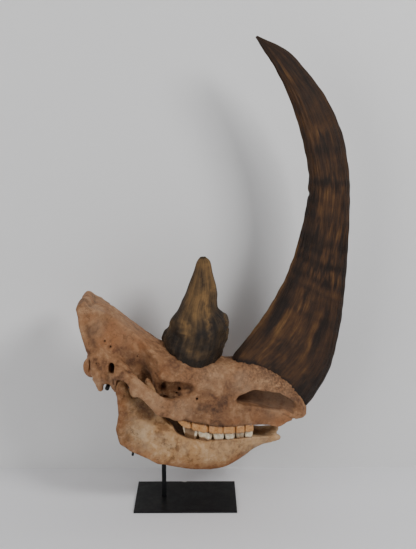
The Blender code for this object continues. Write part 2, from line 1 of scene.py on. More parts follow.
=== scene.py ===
# %% [markdown]
# # A woolly rhinoceros skull on its stand
#
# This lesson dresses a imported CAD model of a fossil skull: two bones, two horns, 24 teeth and a small steel
# stand. Each bone is first worked out as a distance field with numpy and then skinned, because a skull has no
# outline that could be turned or extruded. Horns and teeth are grids of points with two parameters. The stand
# keeps its CAD shape and only gets a finish.
#
# The frame: metres, +Z up, +X towards the nose. The camera sees the animal's right side, which is -Y.
# Shapes are written in millimetres, with the distance from the skull's mirror plane as a positive width.

import math

import bpy
import numpy as np
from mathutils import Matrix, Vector


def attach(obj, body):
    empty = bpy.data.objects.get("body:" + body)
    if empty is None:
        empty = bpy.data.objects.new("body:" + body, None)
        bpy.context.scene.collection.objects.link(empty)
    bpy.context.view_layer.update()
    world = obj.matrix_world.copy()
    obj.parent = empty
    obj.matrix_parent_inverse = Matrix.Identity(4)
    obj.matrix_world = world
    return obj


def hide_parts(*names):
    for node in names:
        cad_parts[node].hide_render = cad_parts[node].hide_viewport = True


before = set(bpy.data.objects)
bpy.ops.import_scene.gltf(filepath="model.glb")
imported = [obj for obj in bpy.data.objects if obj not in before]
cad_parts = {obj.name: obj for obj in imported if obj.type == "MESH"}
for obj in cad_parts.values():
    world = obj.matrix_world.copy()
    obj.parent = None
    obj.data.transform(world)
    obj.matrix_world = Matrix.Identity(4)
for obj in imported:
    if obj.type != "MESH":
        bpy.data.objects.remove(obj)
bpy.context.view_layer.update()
MM = 0.001

# %% [markdown]
# ## The camera
#
# The photograph was taken from a little above, with a lens of middle length. The camera's height and tilt
# were worked out from the corners of the base plate. A camera placed by numbers is better than one aimed by
# eye, because every later comparison with the photograph depends on it.

# %% Camera
SENSOR, FOCAL_PIXELS, PHOTO_HEIGHT = 36, 850, 549
TILT_DOWN, TURN = 11.16, -0.41
camera_data = bpy.data.cameras.new("camera")
camera_data.sensor_width = SENSOR
camera_data.lens = FOCAL_PIXELS * SENSOR / PHOTO_HEIGHT
camera_data.clip_start = 0.05
camera = bpy.data.objects.new("camera", camera_data)
camera.location = (0.054, -2.621, 1.270)
camera.rotation_euler = (math.radians(90 - TILT_DOWN), 0, math.radians(TURN))
bpy.context.scene.collection.objects.link(camera)
bpy.context.scene.camera = camera
print("camera at", tuple(round(v, 3) for v in camera.location))

# %% [markdown]
# ## Reading smooth curves through a few points
#
# Most of the shapes below start as short lists of measured points. Straight lines between them would show as
# flats, so they are read through cubic pieces whose slopes match where two pieces meet. Blender's own curve
# objects could do this too, but arrays keep every step in one place.


# %% Curves through points
def curve_at(points, x):
    """A smooth curve through rows of (x, value, ...), read at x: cubic pieces with matching slopes."""
    points = np.array(points, float)
    xs, values = points[:, 0], points[:, 1:]
    slopes = np.gradient(values, xs, axis=0)
    x = np.clip(np.atleast_1d(np.asarray(x, float)), xs[0], xs[-1])
    i = np.clip(np.searchsorted(xs, x, side="right") - 1, 0, len(xs) - 2)
    step = (xs[i + 1] - xs[i])[:, None]
    t = (x - xs[i])[:, None] / step
    return (
        (2 * t**3 - 3 * t**2 + 1) * values[i]
        + (t**3 - 2 * t**2 + t) * step * slopes[i]
        + (3 * t**2 - 2 * t**3) * values[i + 1]
        + (t**3 - t**2) * step * slopes[i + 1]
    )


def resampled(points, count, closed=False):
    """The same number of points spread along a smooth curve through the given ones."""
    points = np.array(points, float)
    if closed:
        points = np.concatenate([points[-3:], points, points[:3]])
    steps = np.arange(len(points), dtype=float)
    low, high = (3.0, len(points) - 3.0) if closed else (0.0, len(points) - 1.0)
    read = np.linspace(low, high, count, endpoint=not closed)
    return curve_at(np.column_stack([steps, points]), read)


# %% [markdown]
# ## Noise
#
# Old bone and horn are never even. A lattice of random numbers, read smoothly between its points, gives lumps
# of any size. Blender has noise textures for shading, but the same lumps are wanted in the mesh itself, where
# they change the outline and catch the light.


# %% Smooth noise
LATTICE = 32
SHIFT = 400.37  # keeps every place above nought and off the lattice's own points


def lumps(points, size, seed):
    """Value noise from -1 to 1: a lattice of random values, size apart, blended smoothly between corners."""
    table = np.random.default_rng(seed).uniform(-1, 1, (LATTICE, LATTICE, LATTICE)).astype(np.float32)
    place = np.asarray(points, np.float32) / np.float32(size) + SHIFT
    cell = np.floor(place).astype(np.int64)
    t = place - cell
    t = t * t * (3 - 2 * t)
    total = np.zeros(len(place), np.float32)
    for corner in range(8):
        step = np.array([corner >> 2 & 1, corner >> 1 & 1, corner & 1])
        weight = np.where(step, t, 1 - t).prod(1)
        i, j, k = ((cell + step) % LATTICE).T
        total += weight * table[i, j, k]
    return total


def layered(points, size, seed, layers=3):
    """Lumps of halving size and height, added up."""
    return sum(lumps(points, size / 2**n, seed + n) / 2**n for n in range(layers))


def soft_step(value, low, high):
    """0 below low, 1 above high, smooth between."""
    t = np.clip((value - low) / (high - low), 0, 1)
    return t * t * (3 - 2 * t)


# %% [markdown]
# ## From arrays to a Blender mesh
#
# `foreach_set` copies whole arrays into a mesh at once. A grid of rings becomes a closed skin by joining each
# ring to the next and by closing both ends with a fan of triangles round a middle point.


# %% Arrays to meshes
def new_piece(name, points, quads, triangles=(), attributes=None, replaced=()):
    """Makes an object from points in millimetres and faces as indices, and registers it with the frame."""
    quads = np.asarray(quads, np.int32).reshape(-1, 4)
    triangles = np.asarray(triangles, np.int32).reshape(-1, 3)
    mesh = bpy.data.meshes.new(name)
    mesh.vertices.add(len(points))
    mesh.vertices.foreach_set("co", (np.asarray(points) * MM).astype(np.float32).ravel())
    loops = np.concatenate([quads.ravel(), triangles.ravel()])
    starts = np.concatenate([np.arange(len(quads)) * 4, len(quads) * 4 + np.arange(len(triangles)) * 3])
    mesh.loops.add(len(loops))
    mesh.loops.foreach_set("vertex_index", loops)
    mesh.polygons.add(len(starts))
    mesh.polygons.foreach_set("loop_start", starts.astype(np.int32))
    mesh.update(calc_edges=True)
    mesh.validate()
    mesh.shade_smooth()
    for key, values in (attributes or {}).items():
        kind = "FLOAT" if np.ndim(values) == 1 else "FLOAT_VECTOR"
        made = mesh.attributes.new(key, kind, "POINT")
        field = "value" if kind == "FLOAT" else "vector"
        made.data.foreach_set(field, np.asarray(values, np.float32).ravel())
    obj = bpy.data.objects.new(name, mesh)
    bpy.context.scene.collection.objects.link(obj)
    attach(obj, "root")
    if replaced:
        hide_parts(*replaced)
    count = 2 * len(quads) + len(triangles)
    print(f"{name}: {count} triangles")
    return obj


def ring_faces(rings, sides):
    """Faces of a tube of `rings` rings with `sides` points each, whose last two points close the ends."""
    r, s = np.meshgrid(np.arange(rings - 1), np.arange(sides), indexing="ij")
    here, next_one = r * sides + s, r * sides + (s + 1) % sides
    quads = np.stack([here, next_one, next_one + sides, here + sides], -1).reshape(-1, 4)
    side = np.arange(sides)
    first, last = rings * sides, rings * sides + 1
    low = np.stack([np.full(sides, first), (side + 1) % sides, side], -1)
    top = (rings - 1) * sides
    high = np.stack([np.full(sides, last), top + side, top + (side + 1) % sides], -1)
    return quads, np.concatenate([low, high])


def tube_points(rings):
    """All points of a stack of rings, then the middle of its first ring and of its last."""
    return np.concatenate([rings.reshape(-1, 3), rings[0].mean(0)[None], rings[-1].mean(0)[None]])


# %% [markdown]
# ## A field of distances
#
# A bone is made like a clay model: shapes are added and hollows are pressed in, and where two meet the
# joint is smoothed over. A distance field does exactly that. Every point of a grid holds its distance to
# the surface, negative inside. Adding a shape takes the smaller distance, cutting takes the larger, and a
# blended minimum rounds the joint. A mesh with Boolean modifiers could give the same parts, but with sharp
# creases.
#
# Only one half is worked out, since a skull is mirrored in its middle plane.


# %% The grid
FAR = 60  # the distance that empty grid points hold
DEEPEST = 24  # distances beyond this say nothing about the surface


class Clay:
    """One half of a bone as a field of distances, over x, width from the midline, and height."""

    def __init__(self, low, high, step):
        self.step = step
        self.low = np.array(low, np.float32)
        self.axes = [np.arange(a, b + step, step, dtype=np.float32) for a, b in zip(low, high)]
        self.field = np.full([len(axis) for axis in self.axes], FAR, np.float32)

    def window(self, low, high, margin=26):
        """The part of the grid near a shape, so that the rest needs no work."""
        cut = []
        for axis, a, b in zip(self.axes, low, high):
            cut.append(slice(*np.searchsorted(axis, [a - margin, b + margin])))
        grids = np.meshgrid(*[axis[c] for axis, c in zip(self.axes, cut)], indexing="ij", sparse=True)
        return tuple(cut), grids

    def add(self, where, distance, blend=8.0):
        """The smaller distance, with the joint filled where the two differ by less than blend."""
        self.field[where] = smaller(self.field[where], distance, blend)

    def cut(self, where, distance, blend=5.0):
        """Takes a shape away, with its rim rounded by blend."""
        self.field[where] = -smaller(-self.field[where], distance, blend)


def smaller(a, b, blend):
    """A minimum whose corner is rounded off over the distance blend."""
    h = np.clip(0.5 + 0.5 * (b - a) / blend, 0, 1)
    return b + (a - b) * h - blend * h * (1 - h)


# %% Distances to simple shapes
def chain(clay, points, radii, blend=8.0, cut=False):
    """A rod through points, as thick as its own radius at each: the distance to the nearest of its pieces."""
    path = np.column_stack([points, radii]).astype(np.float32)
    reach = path[:, 3].max()
    where, (x, w, z) = clay.window(path[:, :3].min(0) - reach, path[:, :3].max(0) + reach)
    nearest = None
    for a, b in zip(path[:-1], path[1:]):
        side = (b - a)[:3]
        t = ((x - a[0]) * side[0] + (w - a[1]) * side[1] + (z - a[2]) * side[2]) / max(side @ side, 1e-6)
        t = np.clip(t, 0, 1)
        gap = [p - q - t * s for p, q, s in zip((x, w, z), a[:3], side)]
        distance = np.sqrt(gap[0] ** 2 + gap[1] ** 2 + gap[2] ** 2) - (a[3] + t * (b[3] - a[3]))
        nearest = distance if nearest is None else np.minimum(nearest, distance)
    (clay.cut if cut else clay.add)(where, nearest, blend)


def ball(clay, centre, radii, lean=0.0, blend=8.0, cut=False):
    """A stretched ball, which lean turns in the side view, nose up, in degrees. Its distance is near
    k (k - 1) / m, with k and m the lengths of the point divided by the radii once and twice."""
    reach = max(radii)
    where, (x, w, z) = clay.window(np.array(centre) - reach, np.array(centre) + reach)
    x, w, z = x - centre[0], w - centre[1], z - centre[2]
    c, s = math.cos(math.radians(lean)), math.sin(math.radians(lean))
    x, z = x * c + z * s, z * c - x * s
    k = np.sqrt((x / radii[0]) ** 2 + (w / radii[1]) ** 2 + (z / radii[2]) ** 2) + 1e-6
    m = np.sqrt((x / radii[0] ** 2) ** 2 + (w / radii[1] ** 2) ** 2 + (z / radii[2] ** 2) ** 2) + 1e-6
    (clay.cut if cut else clay.add)(where, (k * (k - 1) / m).astype(np.float32), blend)


def polygon_distance(corners, a, b):
    """The distance of every (a, b) from a closed outline, negative inside: the nearest side, and an odd count
    of sides crossed on the way out."""
    start = np.asarray(corners, np.float32)
    end = np.roll(start, -1, axis=0)
    side = end - start
    da, db = a[..., None] - start[:, 0], b[..., None] - start[:, 1]
    t = np.clip((da * side[:, 0] + db * side[:, 1]) / np.maximum((side**2).sum(1), 1e-6), 0, 1)
    distance = np.sqrt(((da - t * side[:, 0]) ** 2 + (db - t * side[:, 1]) ** 2).min(-1))
    straddles = (start[:, 1] > b[..., None]) != (end[:, 1] > b[..., None])
    rise = np.where(np.abs(side[:, 1]) < 1e-6, 1e-6, side[:, 1])
    crossed = straddles & (da < db * side[:, 0] / rise)
    return np.where(crossed.sum(-1) % 2 == 1, -distance, distance).astype(np.float32)


def slab(clay, outline, widths, halves, rounding, blend, cut=False):
    """An outline in the side view, thickened along the width: its middle follows widths and half its
    thickness follows halves, both along x. The edge is rounded by combining both distances as a
    corner's."""
    outline = resampled(outline, 5 * len(outline), closed=True)
    low, high = outline.min(0), outline.max(0)
    across = curve_at(widths, outline[:, 0])
    where, (x, w, z) = clay.window((low[0], across.min() - 40, low[1]), (high[0], across.max() + 40, high[1]))
    flat = polygon_distance(outline, *np.meshgrid(x.ravel(), z.ravel(), indexing="ij"))[:, None, :]
    middle = curve_at(widths, x.ravel())[:, None].astype(np.float32)
    half = curve_at(halves, x.ravel())[:, None].astype(np.float32)
    r = np.minimum(rounding, half * 0.95)
    across = np.abs(w - middle) - half
    p, q = flat + r, across + r
    corner = np.sqrt(np.maximum(p, 0) ** 2 + np.maximum(q, 0) ** 2) + np.minimum(np.maximum(p, q), 0) - r
    (clay.cut if cut else clay.add)(where, corner.astype(np.float32), blend)


def sections(clay, lines, closing, sides):
    """A body given by lines that run along it: at each x the lines give a ring, rounded between them."""
    first, last = max(l[0][0] for l in lines), min(l[-1][0] for l in lines)
    low, high = (first, 0, clay.axes[2][0]), (last, clay.axes[1][-1], clay.axes[2][-1])
    where, (x, w, z) = clay.window(low, high, margin=30)
    xs = np.clip(x.ravel(), first, last)
    corners = np.stack([curve_at(line, xs) for line in lines], axis=1)
    steps = np.arange(len(lines), dtype=float)
    fine = np.linspace(0, len(lines) - 1, sides)
    ww, zz = np.meshgrid(w.ravel(), z.ravel(), indexing="ij")
    flat = []
    for ring in corners:
        ring = curve_at(np.column_stack([steps, ring]), fine)
        flat.append(polygon_distance(closing(ring), ww, zz))
    flat = np.stack(flat)
    slope = np.sqrt(sum(g**2 for g in np.gradient(flat, clay.step)))
    flat = flat / np.clip(slope, 1, 3)
    ends = np.maximum(first - x, x - last)
    clay.add(where, np.maximum(flat, ends))


# %% [markdown]
# ## Skinning the field
#
# The surface lies where the distance is nought. Surface nets put one point into every grid cell that the
# surface crosses, at the mean of the crossings on the cell's edges, and one face for every grid edge that it
# crosses. Each point is then slid along the field's slope until its distance is nought. This gives even quads
# with no poles, which take fine relief well.


# %% Surface nets
def skin(field, low, step):
    """Points and quads of the surface where the field is nought, with every face turned outwards."""
    inside = field < 0
    count = sum(
        inside[a : a - 1 or None, b : b - 1 or None, c : c - 1 or None].astype(np.int8)
        for a in (0, 1)
        for b in (0, 1)
        for c in (0, 1)
    )
    crossed = (count > 0) & (count < 8)
    cells = np.argwhere(crossed)
    number = np.full(crossed.shape, -1, np.int32)
    number[crossed] = np.arange(len(cells))
    total, hits = np.zeros((len(cells), 3)), np.zeros(len(cells))
    for axis in range(3):
        along = np.eye(3, dtype=int)[axis]
        for corner in range(4):
            offset = np.zeros(3, int)
            offset[(axis + 1) % 3], offset[(axis + 2) % 3] = corner & 1, corner >> 1
            a = field[tuple((cells + offset).T)]
            b = field[tuple((cells + offset + along).T)]
            hit = (a < 0) != (b < 0)
            t = np.where(hit, a / np.where(hit, a - b, 1), 0)
            total += hit[:, None] * (offset + along * t[:, None])
            hits += hit
    points = (cells + total / hits[:, None]) * step + low
    quads = []
    for axis in range(3):
        one, two = (axis + 1) % 3, (axis + 2) % 3
        a, b = np.moveaxis(inside, axis, 0)[:-1], np.moveaxis(inside, axis, 0)[1:]
        edge = np.argwhere(np.moveaxis(a != b, 0, axis))
        edge = edge[(edge[:, one] > 0) & (edge[:, two] > 0)]
        far = edge.copy()
        far[:, axis] += 1
        outward = inside[tuple(edge.T)]
        u, v = np.eye(3, dtype=int)[one], np.eye(3, dtype=int)[two]
        ring = [number[tuple((edge - s).T)] for s in (u + v, v, 0 * u, u)]
        quad = np.stack(ring, -1)
        quad[~outward] = quad[~outward][:, ::-1]
        quads.append(quad)
    return points, np.concatenate(quads)


def read_field(field, points, low, step):
    """The field's value at any point, blended between the eight grid points round it."""
    place = (points - low) / step
    cell = np.clip(np.floor(place).astype(int), 0, np.array(field.shape) - 2)
    t = np.clip(place - cell, 0, 1)
    value = 0
    for corner in range(8):
        offset = np.array([corner >> 2 & 1, corner >> 1 & 1, corner & 1])
        value = value + np.where(offset, t, 1 - t).prod(1) * field[tuple((cell + offset).T)]
    return value


def slope_at(field, points, low, step):
    """The direction in which the distance grows, which is the surface's outward normal."""
    reach = np.eye(3) * step * 0.7
    ahead = [read_field(field, points + r, low, step) for r in reach]
    behind = [read_field(field, points - r, low, step) for r in reach]
    slope = np.stack([a - b for a, b in zip(ahead, behind)], -1)
    return slope / np.maximum(np.linalg.norm(slope, axis=1, keepdims=True), 1e-6)


def blurred(field, times):
    """The field smoothed by a small kernel along each axis, again and again."""
    for _ in range(times):
        for axis in range(3):
            back, ahead = np.roll(field, 1, axis), np.roll(field, -1, axis)
            field = 0.5 * field + 0.25 * (back + ahead)
    return field


def whole(clay):
    """Both halves of the field, and its lowest corner in the world's order x, y, z."""
    both = np.concatenate([clay.field[:, :0:-1], clay.field], axis=1)
    low = np.array([clay.low[0], -clay.axes[1][-1], clay.low[2]])
    return both, low


def measured_skin(clay):
    """Skins a bone and measures it. Where the smoothed field reads less than nought the place is hollow, and
    where it reads more it is an edge: once over a few millimetres, once over about two centimetres."""
    field, low = whole(clay)
    field = np.clip(field, -DEEPEST, DEEPEST)
    points, quads = skin(field, low, clay.step)
    for _ in range(2):
        away = slope_at(field, points, low, clay.step)
        points = points - away * np.clip(read_field(field, points, low, clay.step), -2, 2)[:, None]
    near, wide = blurred(field, 3), blurred(field, 26)
    fine = read_field(near, points, low, clay.step) / clay.step
    broad = read_field(wide, points, low, clay.step) / clay.step
    return points, quads, slope_at(near, points, low, clay.step), fine, broad


def spots(points, places, fray=9.0, seed=0):
    """How strongly each point lies in any of the soft round places (x, width, height, radius, strength). The
    points are first moved about by noise, which frays the edges."""
    moved = points + fray * np.stack([layered(points, 26, seed + 10 * i) for i in range(3)], -1)
    moved[:, 1] = np.abs(moved[:, 1])
    total = np.zeros(len(points))
    for x, width, height, radius, strength in places:
        gap = ((moved - (x, width, height)) ** 2).sum(1) / radius**2
        total = np.maximum(total, strength * np.exp(-(gap**1.5)))
    return total


def near_line(points, line, reach, seed=0):
    """1 on a line of points and 0 beyond reach from it, on either side of the skull, with an uneven edge."""
    line = resampled(line, 60)
    side = np.column_stack([points[:, 0], np.abs(points[:, 1]), points[:, 2]])
    gap = np.full(len(points), 1e9)
    for a in line:
        gap = np.minimum(gap, ((side - a) ** 2).sum(1))
    return np.clip(1 - np.sqrt(gap) / (reach * (1 + 0.3 * layered(points, 14, seed))), 0, 1)


# %% [markdown]
# ## The cranium
#
# The brain case rises to a tall crest at the back, where the neck's ligament held up the heavy head. In
# front lie the eye socket, the cheek, and the long nasal opening, whose two sides are parted by a wall of
# bone. Nine lines run along the bone from the midline of the roof round to the midline of the palate. They
# carry the main shape, and everything else is added to it or pressed into it.


# %% The cranium's lines
def at(places, pairs):
    """Rows of x, distance from the midline and height."""
    return [(x, *pair) for x, pair in zip(places, pairs, strict=True)]


# The places along the skull that the lines share, then each line's distance from the midline and height.
REAR_X = (-302, -263, -236, -212, -188, -163, -140, -115, -84)
FRONT_X = (160, 220, 260, 300, 330, 360, 380, 391)
ROOF_X = (*REAR_X, -40, 0, 50, 100, 130, *FRONT_X)
BROW_X = (*REAR_X, -50, -20, 0, 30, 60, 100, *FRONT_X)
SIDE_X = (*REAR_X, -50, -20, 10, 30, 60, 100, *FRONT_X)
GUM_X = (*REAR_X, -50, -20, 10, 60, 100, *FRONT_X)
PALATE_X = (-302, -263, -212, -163, -115, -84, -50, -20, 10, 60, 100, *FRONT_X)
ROOF = at(ROOF_X, [(0, 664), (0, 655), (0, 643), (0, 625), (0, 606), (0, 588), (0, 569), (0, 552), (0, 540),
                   (0, 527), (0, 515), (0, 500), (0, 485), (0, 479), (0, 481), (0, 486), (0, 476), (0, 456),
                   (0, 430), (0, 392), (0, 355), (0, 322)])
TEMPORAL_LINE = at(ROOF_X, [(90, 664), (73, 650), (62, 638), (57, 621), (54, 601), (54, 582), (56, 562),
                            (66, 541), (84, 516), (86, 503), (82, 494), (68, 485), (52, 476), (44, 472),
                            (42, 473), (45, 476), (43, 465), (37, 447), (31, 420), (21, 384), (12, 347),
                            (5, 317)])
BROW = at(BROW_X, [(100, 628), (85, 618), (66, 606), (60, 588), (58, 568), (58, 549), (60, 530), (72, 509),
                   (97, 484), (113, 463), (115, 462), (110, 464), (101, 456), (92, 450), (80, 447),
                   (68, 446), (66, 448), (66, 434), (60, 413), (52, 392), (38, 359), (24, 328), (10, 308)])
RIM = at(SIDE_X, [(105, 583), (86, 575), (73, 566), (67, 553), (63, 534), (61, 515), (61, 498), (68, 478),
                  (86, 456), (117, 440), (119, 441), (114, 430), (105, 414), (95, 409), (86, 407),
                  (76, 404), (79, 401), (75, 391), (66, 382), (57, 365), (44, 335), (28, 306), (12, 300)])
WALL = at(SIDE_X, [(90, 533), (99, 525), (100, 512), (94, 503), (74, 498), (64, 484), (58, 466), (53, 450),
                   (50, 437), (58, 430), (72, 424), (100, 400), (98, 391), (92, 379), (84, 371), (75, 367),
                   (72, 367), (64, 355), (54, 345), (46, 334), (38, 317), (26, 298), (11, 298)])
CHEEK = at(SIDE_X, [(80, 499), (104, 480), (106, 477), (97, 470), (80, 461), (66, 450), (56, 435),
                    (48, 420), (46, 405), (54, 393), (84, 378), (106, 362), (103, 353), (94, 345),
                    (86, 335), (75, 326), (66, 320), (55, 312), (45, 306), (40, 300), (34, 295), (24, 290),
                    (10, 294)])
ALVEOLAR_EDGE = at(GUM_X, [(62, 462), (88, 442), (86, 440), (80, 440), (66, 435), (54, 428), (46, 415),
                           (42, 397), (42, 374), (50, 352), (96, 316), (101, 307), (98, 296), (94, 286),
                           (86, 283), (67, 281), (49, 274), (37, 262), (33, 277), (28, 284), (20, 287),
                           (8, 292)])
PALATE_EDGE = at(PALATE_X, [(38, 440), (44, 430), (44, 425), (36, 420), (34, 385), (34, 348), (40, 334),
                            (52, 318), (54, 307), (52, 296), (50, 286), (48, 283), (42, 282), (34, 275),
                            (26, 264), (20, 279), (16, 286), (10, 289), (4, 293)])
PALATE = at(PALATE_X, [(0, 446), (0, 434), (0, 429), (0, 424), (0, 408), (0, 396), (0, 372), (0, 345),
                       (0, 333), (0, 326), (0, 318), (0, 307), (0, 299), (0, 288), (0, 274), (0, 284),
                       (0, 289), (0, 291), (0, 294)])
CRANIUM_LINES = (ROOF, TEMPORAL_LINE, BROW, RIM, WALL, CHEEK, ALVEOLAR_EDGE, PALATE_EDGE, PALATE)

# The cheek arch in the side view, how far out its middle lies, and half its thickness.
ARCH_OUTLINE = [(-232, 488), (-208, 490), (-178, 481), (-141, 461), (-118, 441), (-91, 417), (-74, 401),
                (-46, 387), (-10, 390), (12, 386), (22, 350), (-5, 315), (-28, 315), (-50, 328), (-75, 336),
                (-91, 349), (-106, 368), (-127, 392), (-143, 403), (-160, 404), (-169, 424), (-181, 443),
                (-200, 452), (-226, 458)]
ARCH_WIDTH = [(-232, 106), (-205, 126), (-170, 146), (-140, 152), (-100, 146), (-60, 132), (-20, 111),
              (22, 90)]
ARCH_HALF = [(-232, 24), (-200, 19), (-150, 13), (-80, 13), (-30, 17), (22, 18)]

# The nasal opening in the side view. It is open down to the bony septum.
NASAL_OPENING = [(162, 360), (167, 373), (190, 386), (207, 395), (222, 398), (246, 393), (266, 390),
                 (295, 385), (316, 372), (337, 358), (350, 346), (359, 328), (366, 306), (352, 290),
                 (338, 303), (326, 314), (312, 320), (298, 319), (277, 324), (257, 329), (236, 336),
                 (207, 343), (185, 346), (169, 350)]
SEPTUM_HALF = 26
OPENING_HALF = 67


# %% Build the cranium's clay
def across_midline(ring):
    """A ring that starts and ends on the midline, carried over it so that the mirrored half joins on."""
    return np.concatenate([[(-40, ring[0, 1])], ring, [(-40, ring[-1, 1])]])


CRANIUM_STEP, JAW_STEP = 3.5, 3.2
clay = Clay((-352, 0, 246), (404, 184, 708), CRANIUM_STEP)
sections(clay, CRANIUM_LINES, across_midline, sides=56)
# The crest at the back, its side rim, and the ridge that runs from it down to the root of the cheek arch.
chain(clay, [(-308, 0, 662), (-314, 50, 664), (-316, 84, 662), (-312, 95, 655)], [19, 19, 17, 14])
chain(clay, [(-316, 96, 650), (-314, 100, 618), (-304, 100, 580), (-292, 94, 535)], [10, 11, 12, 12])
chain(clay, [(-306, 88, 652), (-280, 80, 650), (-255, 70, 640)], [17, 13, 8], blend=12)
chain(clay, [(-214, 103, 490), (-240, 101, 511), (-270, 98, 540), (-297, 95, 563)], [10, 9, 9, 9], blend=9)
chain(clay, [(-309, 10, 671), (-311, 50, 676), (-313, 80, 667), (-314, 94, 659)], [13, 14, 14, 13], blend=5)
# The line where the chewing muscle ended, from the crest to the brow.
chain(clay, [(-236, 60, 634), (-200, 53, 606), (-170, 54, 585), (-143, 56, 564), (-115, 66, 540),
             (-89, 83, 510), (-66, 99, 484)], [2, 2, 2, 2, 2, 2, 3], blend=9)
# The condyle that sat on the neck, the two spurs behind the jaw joint, and the web of bone between them.
ball(clay, (-296, 46, 464), (25, 27, 33), lean=8, blend=6)
chain(clay, [(-276, 92, 510), (-270, 97, 455), (-264, 99, 425), (-262, 99, 412)], [22, 20, 13, 9])
chain(clay, [(-226, 98, 480), (-221, 104, 442), (-216, 105, 420), (-213, 105, 410)], [19, 16, 12, 8])
chain(clay, [(-264, 92, 458), (-242, 94, 452), (-222, 96, 454)], [26, 26, 24])
# The cheek arch, its root and the brow.
ball(clay, (-212, 106, 472), (40, 38, 24), lean=-20, blend=12)
chain(clay, [(-250, 76, 496), (-215, 88, 484), (-180, 106, 466), (-150, 116, 446)], [30, 26, 18, 10],
      blend=14)
slab(clay, ARCH_OUTLINE, ARCH_WIDTH, ARCH_HALF, rounding=12, blend=10)
ball(clay, (-52, 104, 455), (30, 18, 16))
chain(clay, [(-62, 42, 400), (-66, 40, 350), (-58, 40, 322)], [14, 9, 6])
# The hollows: nasal opening, temporal pit, the side below the crest, jaw joint, gullet, the way of the spinal
# cord, the back of the head, and the seam at the front of the upper jaw.
opening_middle = OPENING_HALF + SEPTUM_HALF
slab(clay, NASAL_OPENING, [(160, opening_middle), (260, opening_middle), (335, 98), (370, 106)],
     [(160, OPENING_HALF), (370, OPENING_HALF)], rounding=10, blend=5, cut=True)
ball(clay, (-108, 104, 430), (38, 36, 26), lean=-28, cut=True, blend=10)
chain(clay, [(-286, 112, 640), (-287, 110, 600), (-272, 106, 566), (-252, 104, 548)], [15, 16, 14, 8],
      cut=True, blend=8)
chain(clay, [(-188, 84, 430), (-188, 172, 430)], [20, 20], cut=True)
chain(clay, [(-130, 0, 348), (-60, 0, 352), (-10, 0, 356)], [22, 24, 16], cut=True)
ball(clay, (-300, 0, 487), (75, 27, 20), cut=True)
ball(clay, (-342, 46, 592), (36, 40, 60), lean=-4, cut=True)
chain(clay, [(314, 44, 306), (330, 40, 297), (344, 34, 287), (348, 28, 285)], [3, 3, 3.5, 5], cut=True,
      blend=3)
# A post of bone between the temporal pit and the eye socket, then the socket with its deeper rear pocket.
chain(clay, [(-98, 62, 476), (-86, 76, 450), (-80, 80, 422), (-86, 74, 392)], [22, 20, 18, 12], blend=14)
ball(clay, (-50, 52, 408), (40, 26, 46), blend=8)
ball(clay, (-22, 116, 411), (51, 40, 25), lean=4, cut=True, blend=6)
ball(clay, (-67, 98, 410), (13, 36, 18), cut=True, blend=12)
ball(clay, (-64, 88, 374), (20, 34, 7), lean=-14, cut=True, blend=3)
ball(clay, (6, 114, 405), (27, 34, 20), cut=True, blend=8)
chain(clay, [(-66, 120, 394), (-46, 112, 387), (-24, 104, 386)], [5, 6, 4], cut=True, blend=3)
ball(clay, (-4, 74, 398), (30, 12, 5), lean=8, blend=5)
# The ear, with the cleft under it, the grooves that set off the condyle, the bone behind the jaw joint, and
# three shallow furrows down the side of the skull's foot.
chain(clay, [(-236, 128, 510), (-232, 126, 480), (-234, 124, 440)], [9, 12, 8], cut=True, blend=8)
ball(clay, (-223, 108, 482), (11, 60, 17), lean=6, cut=True, blend=3)
chain(clay, [(-221, 124, 466), (-219, 120, 448), (-218, 116, 432)], [5, 4.5, 3], cut=True, blend=2)
ball(clay, (-296, 98, 474), (5, 34, 34), lean=-8, cut=True, blend=3)
ball(clay, (-290, 92, 450), (8, 30, 5), lean=-20, cut=True, blend=3)
ball(clay, (-204, 64, 424), (18, 14, 24))
for foot in (-287, -272, -257):
    chain(clay, [(foot - 6, 118, 520), (foot, 124, 490), (foot + 2, 122, 462)], [3, 4, 3], cut=True,
          blend=5)
# Holes for vessels and nerves: two in the eye socket, one in front of it, and small ones in the brain case
# and above the condyle. Each is x, width, height and radius.
for x, width, height, radius in ((-19, 82, 402, 6), (-27, 84, 390, 4), (36, 94, 376, 4.5),
                                 (-249, 84, 559, 3.6), (-231, 82, 541, 3.6), (-150, 62, 504, 3),
                                 (-272, 112, 497, 3)):
    chain(clay, [(x, width + 16, height), (x + 3, width - 22, height)], [radius, radius * 0.8], cut=True,
          blend=1.5)
print("cranium grid:", clay.field.shape)

# %% Skin the cranium and roughen it
points, quads, normals, fine, broad = measured_skin(clay)
x, y, z = points.T
width = np.abs(y)
# Bone under a horn is rough like a cauliflower: on the snout, and on the forehead. The septum stays smooth.
rugose = spots(points, [(235, 30, 470, 60, 1), (300, 40, 425, 62, 1), (350, 25, 375, 45, 1),
                        (376, 5, 335, 30, 1), (30, 60, 495, 100, 0.6)], seed=3)
septum = soft_step(x, 175, 200) * soft_step(z, 318, 328) * soft_step(width, 40, 30) * soft_step(z, 402, 398)
rugose = rugose * soft_step(z, 300, 330) * (1 - septum)
warts = 1 - 2 * np.abs(lumps(points, 9, 5)) + 0.6 * lumps(points, 5, 6)
height = 1.0 * layered(points, 46, 1) + 0.6 * layered(points, 13, 4) + rugose * (1.9 * warts + 0.6)
points = points + normals * (height * soft_step(broad, -3, -1))[:, None]
# Painted shade: broad hollows and fine creases are marked to be darkened where less light reaches them; the
# septum is spared.
hollow_shade, edge = soft_step(-broad, 0.6, 3.5), soft_step(broad, 0.8, 2.2)
hollow_shade = hollow_shade * (1 - 0.95 * septum)
crease_shade = soft_step(-fine, 0.04, 0.3)
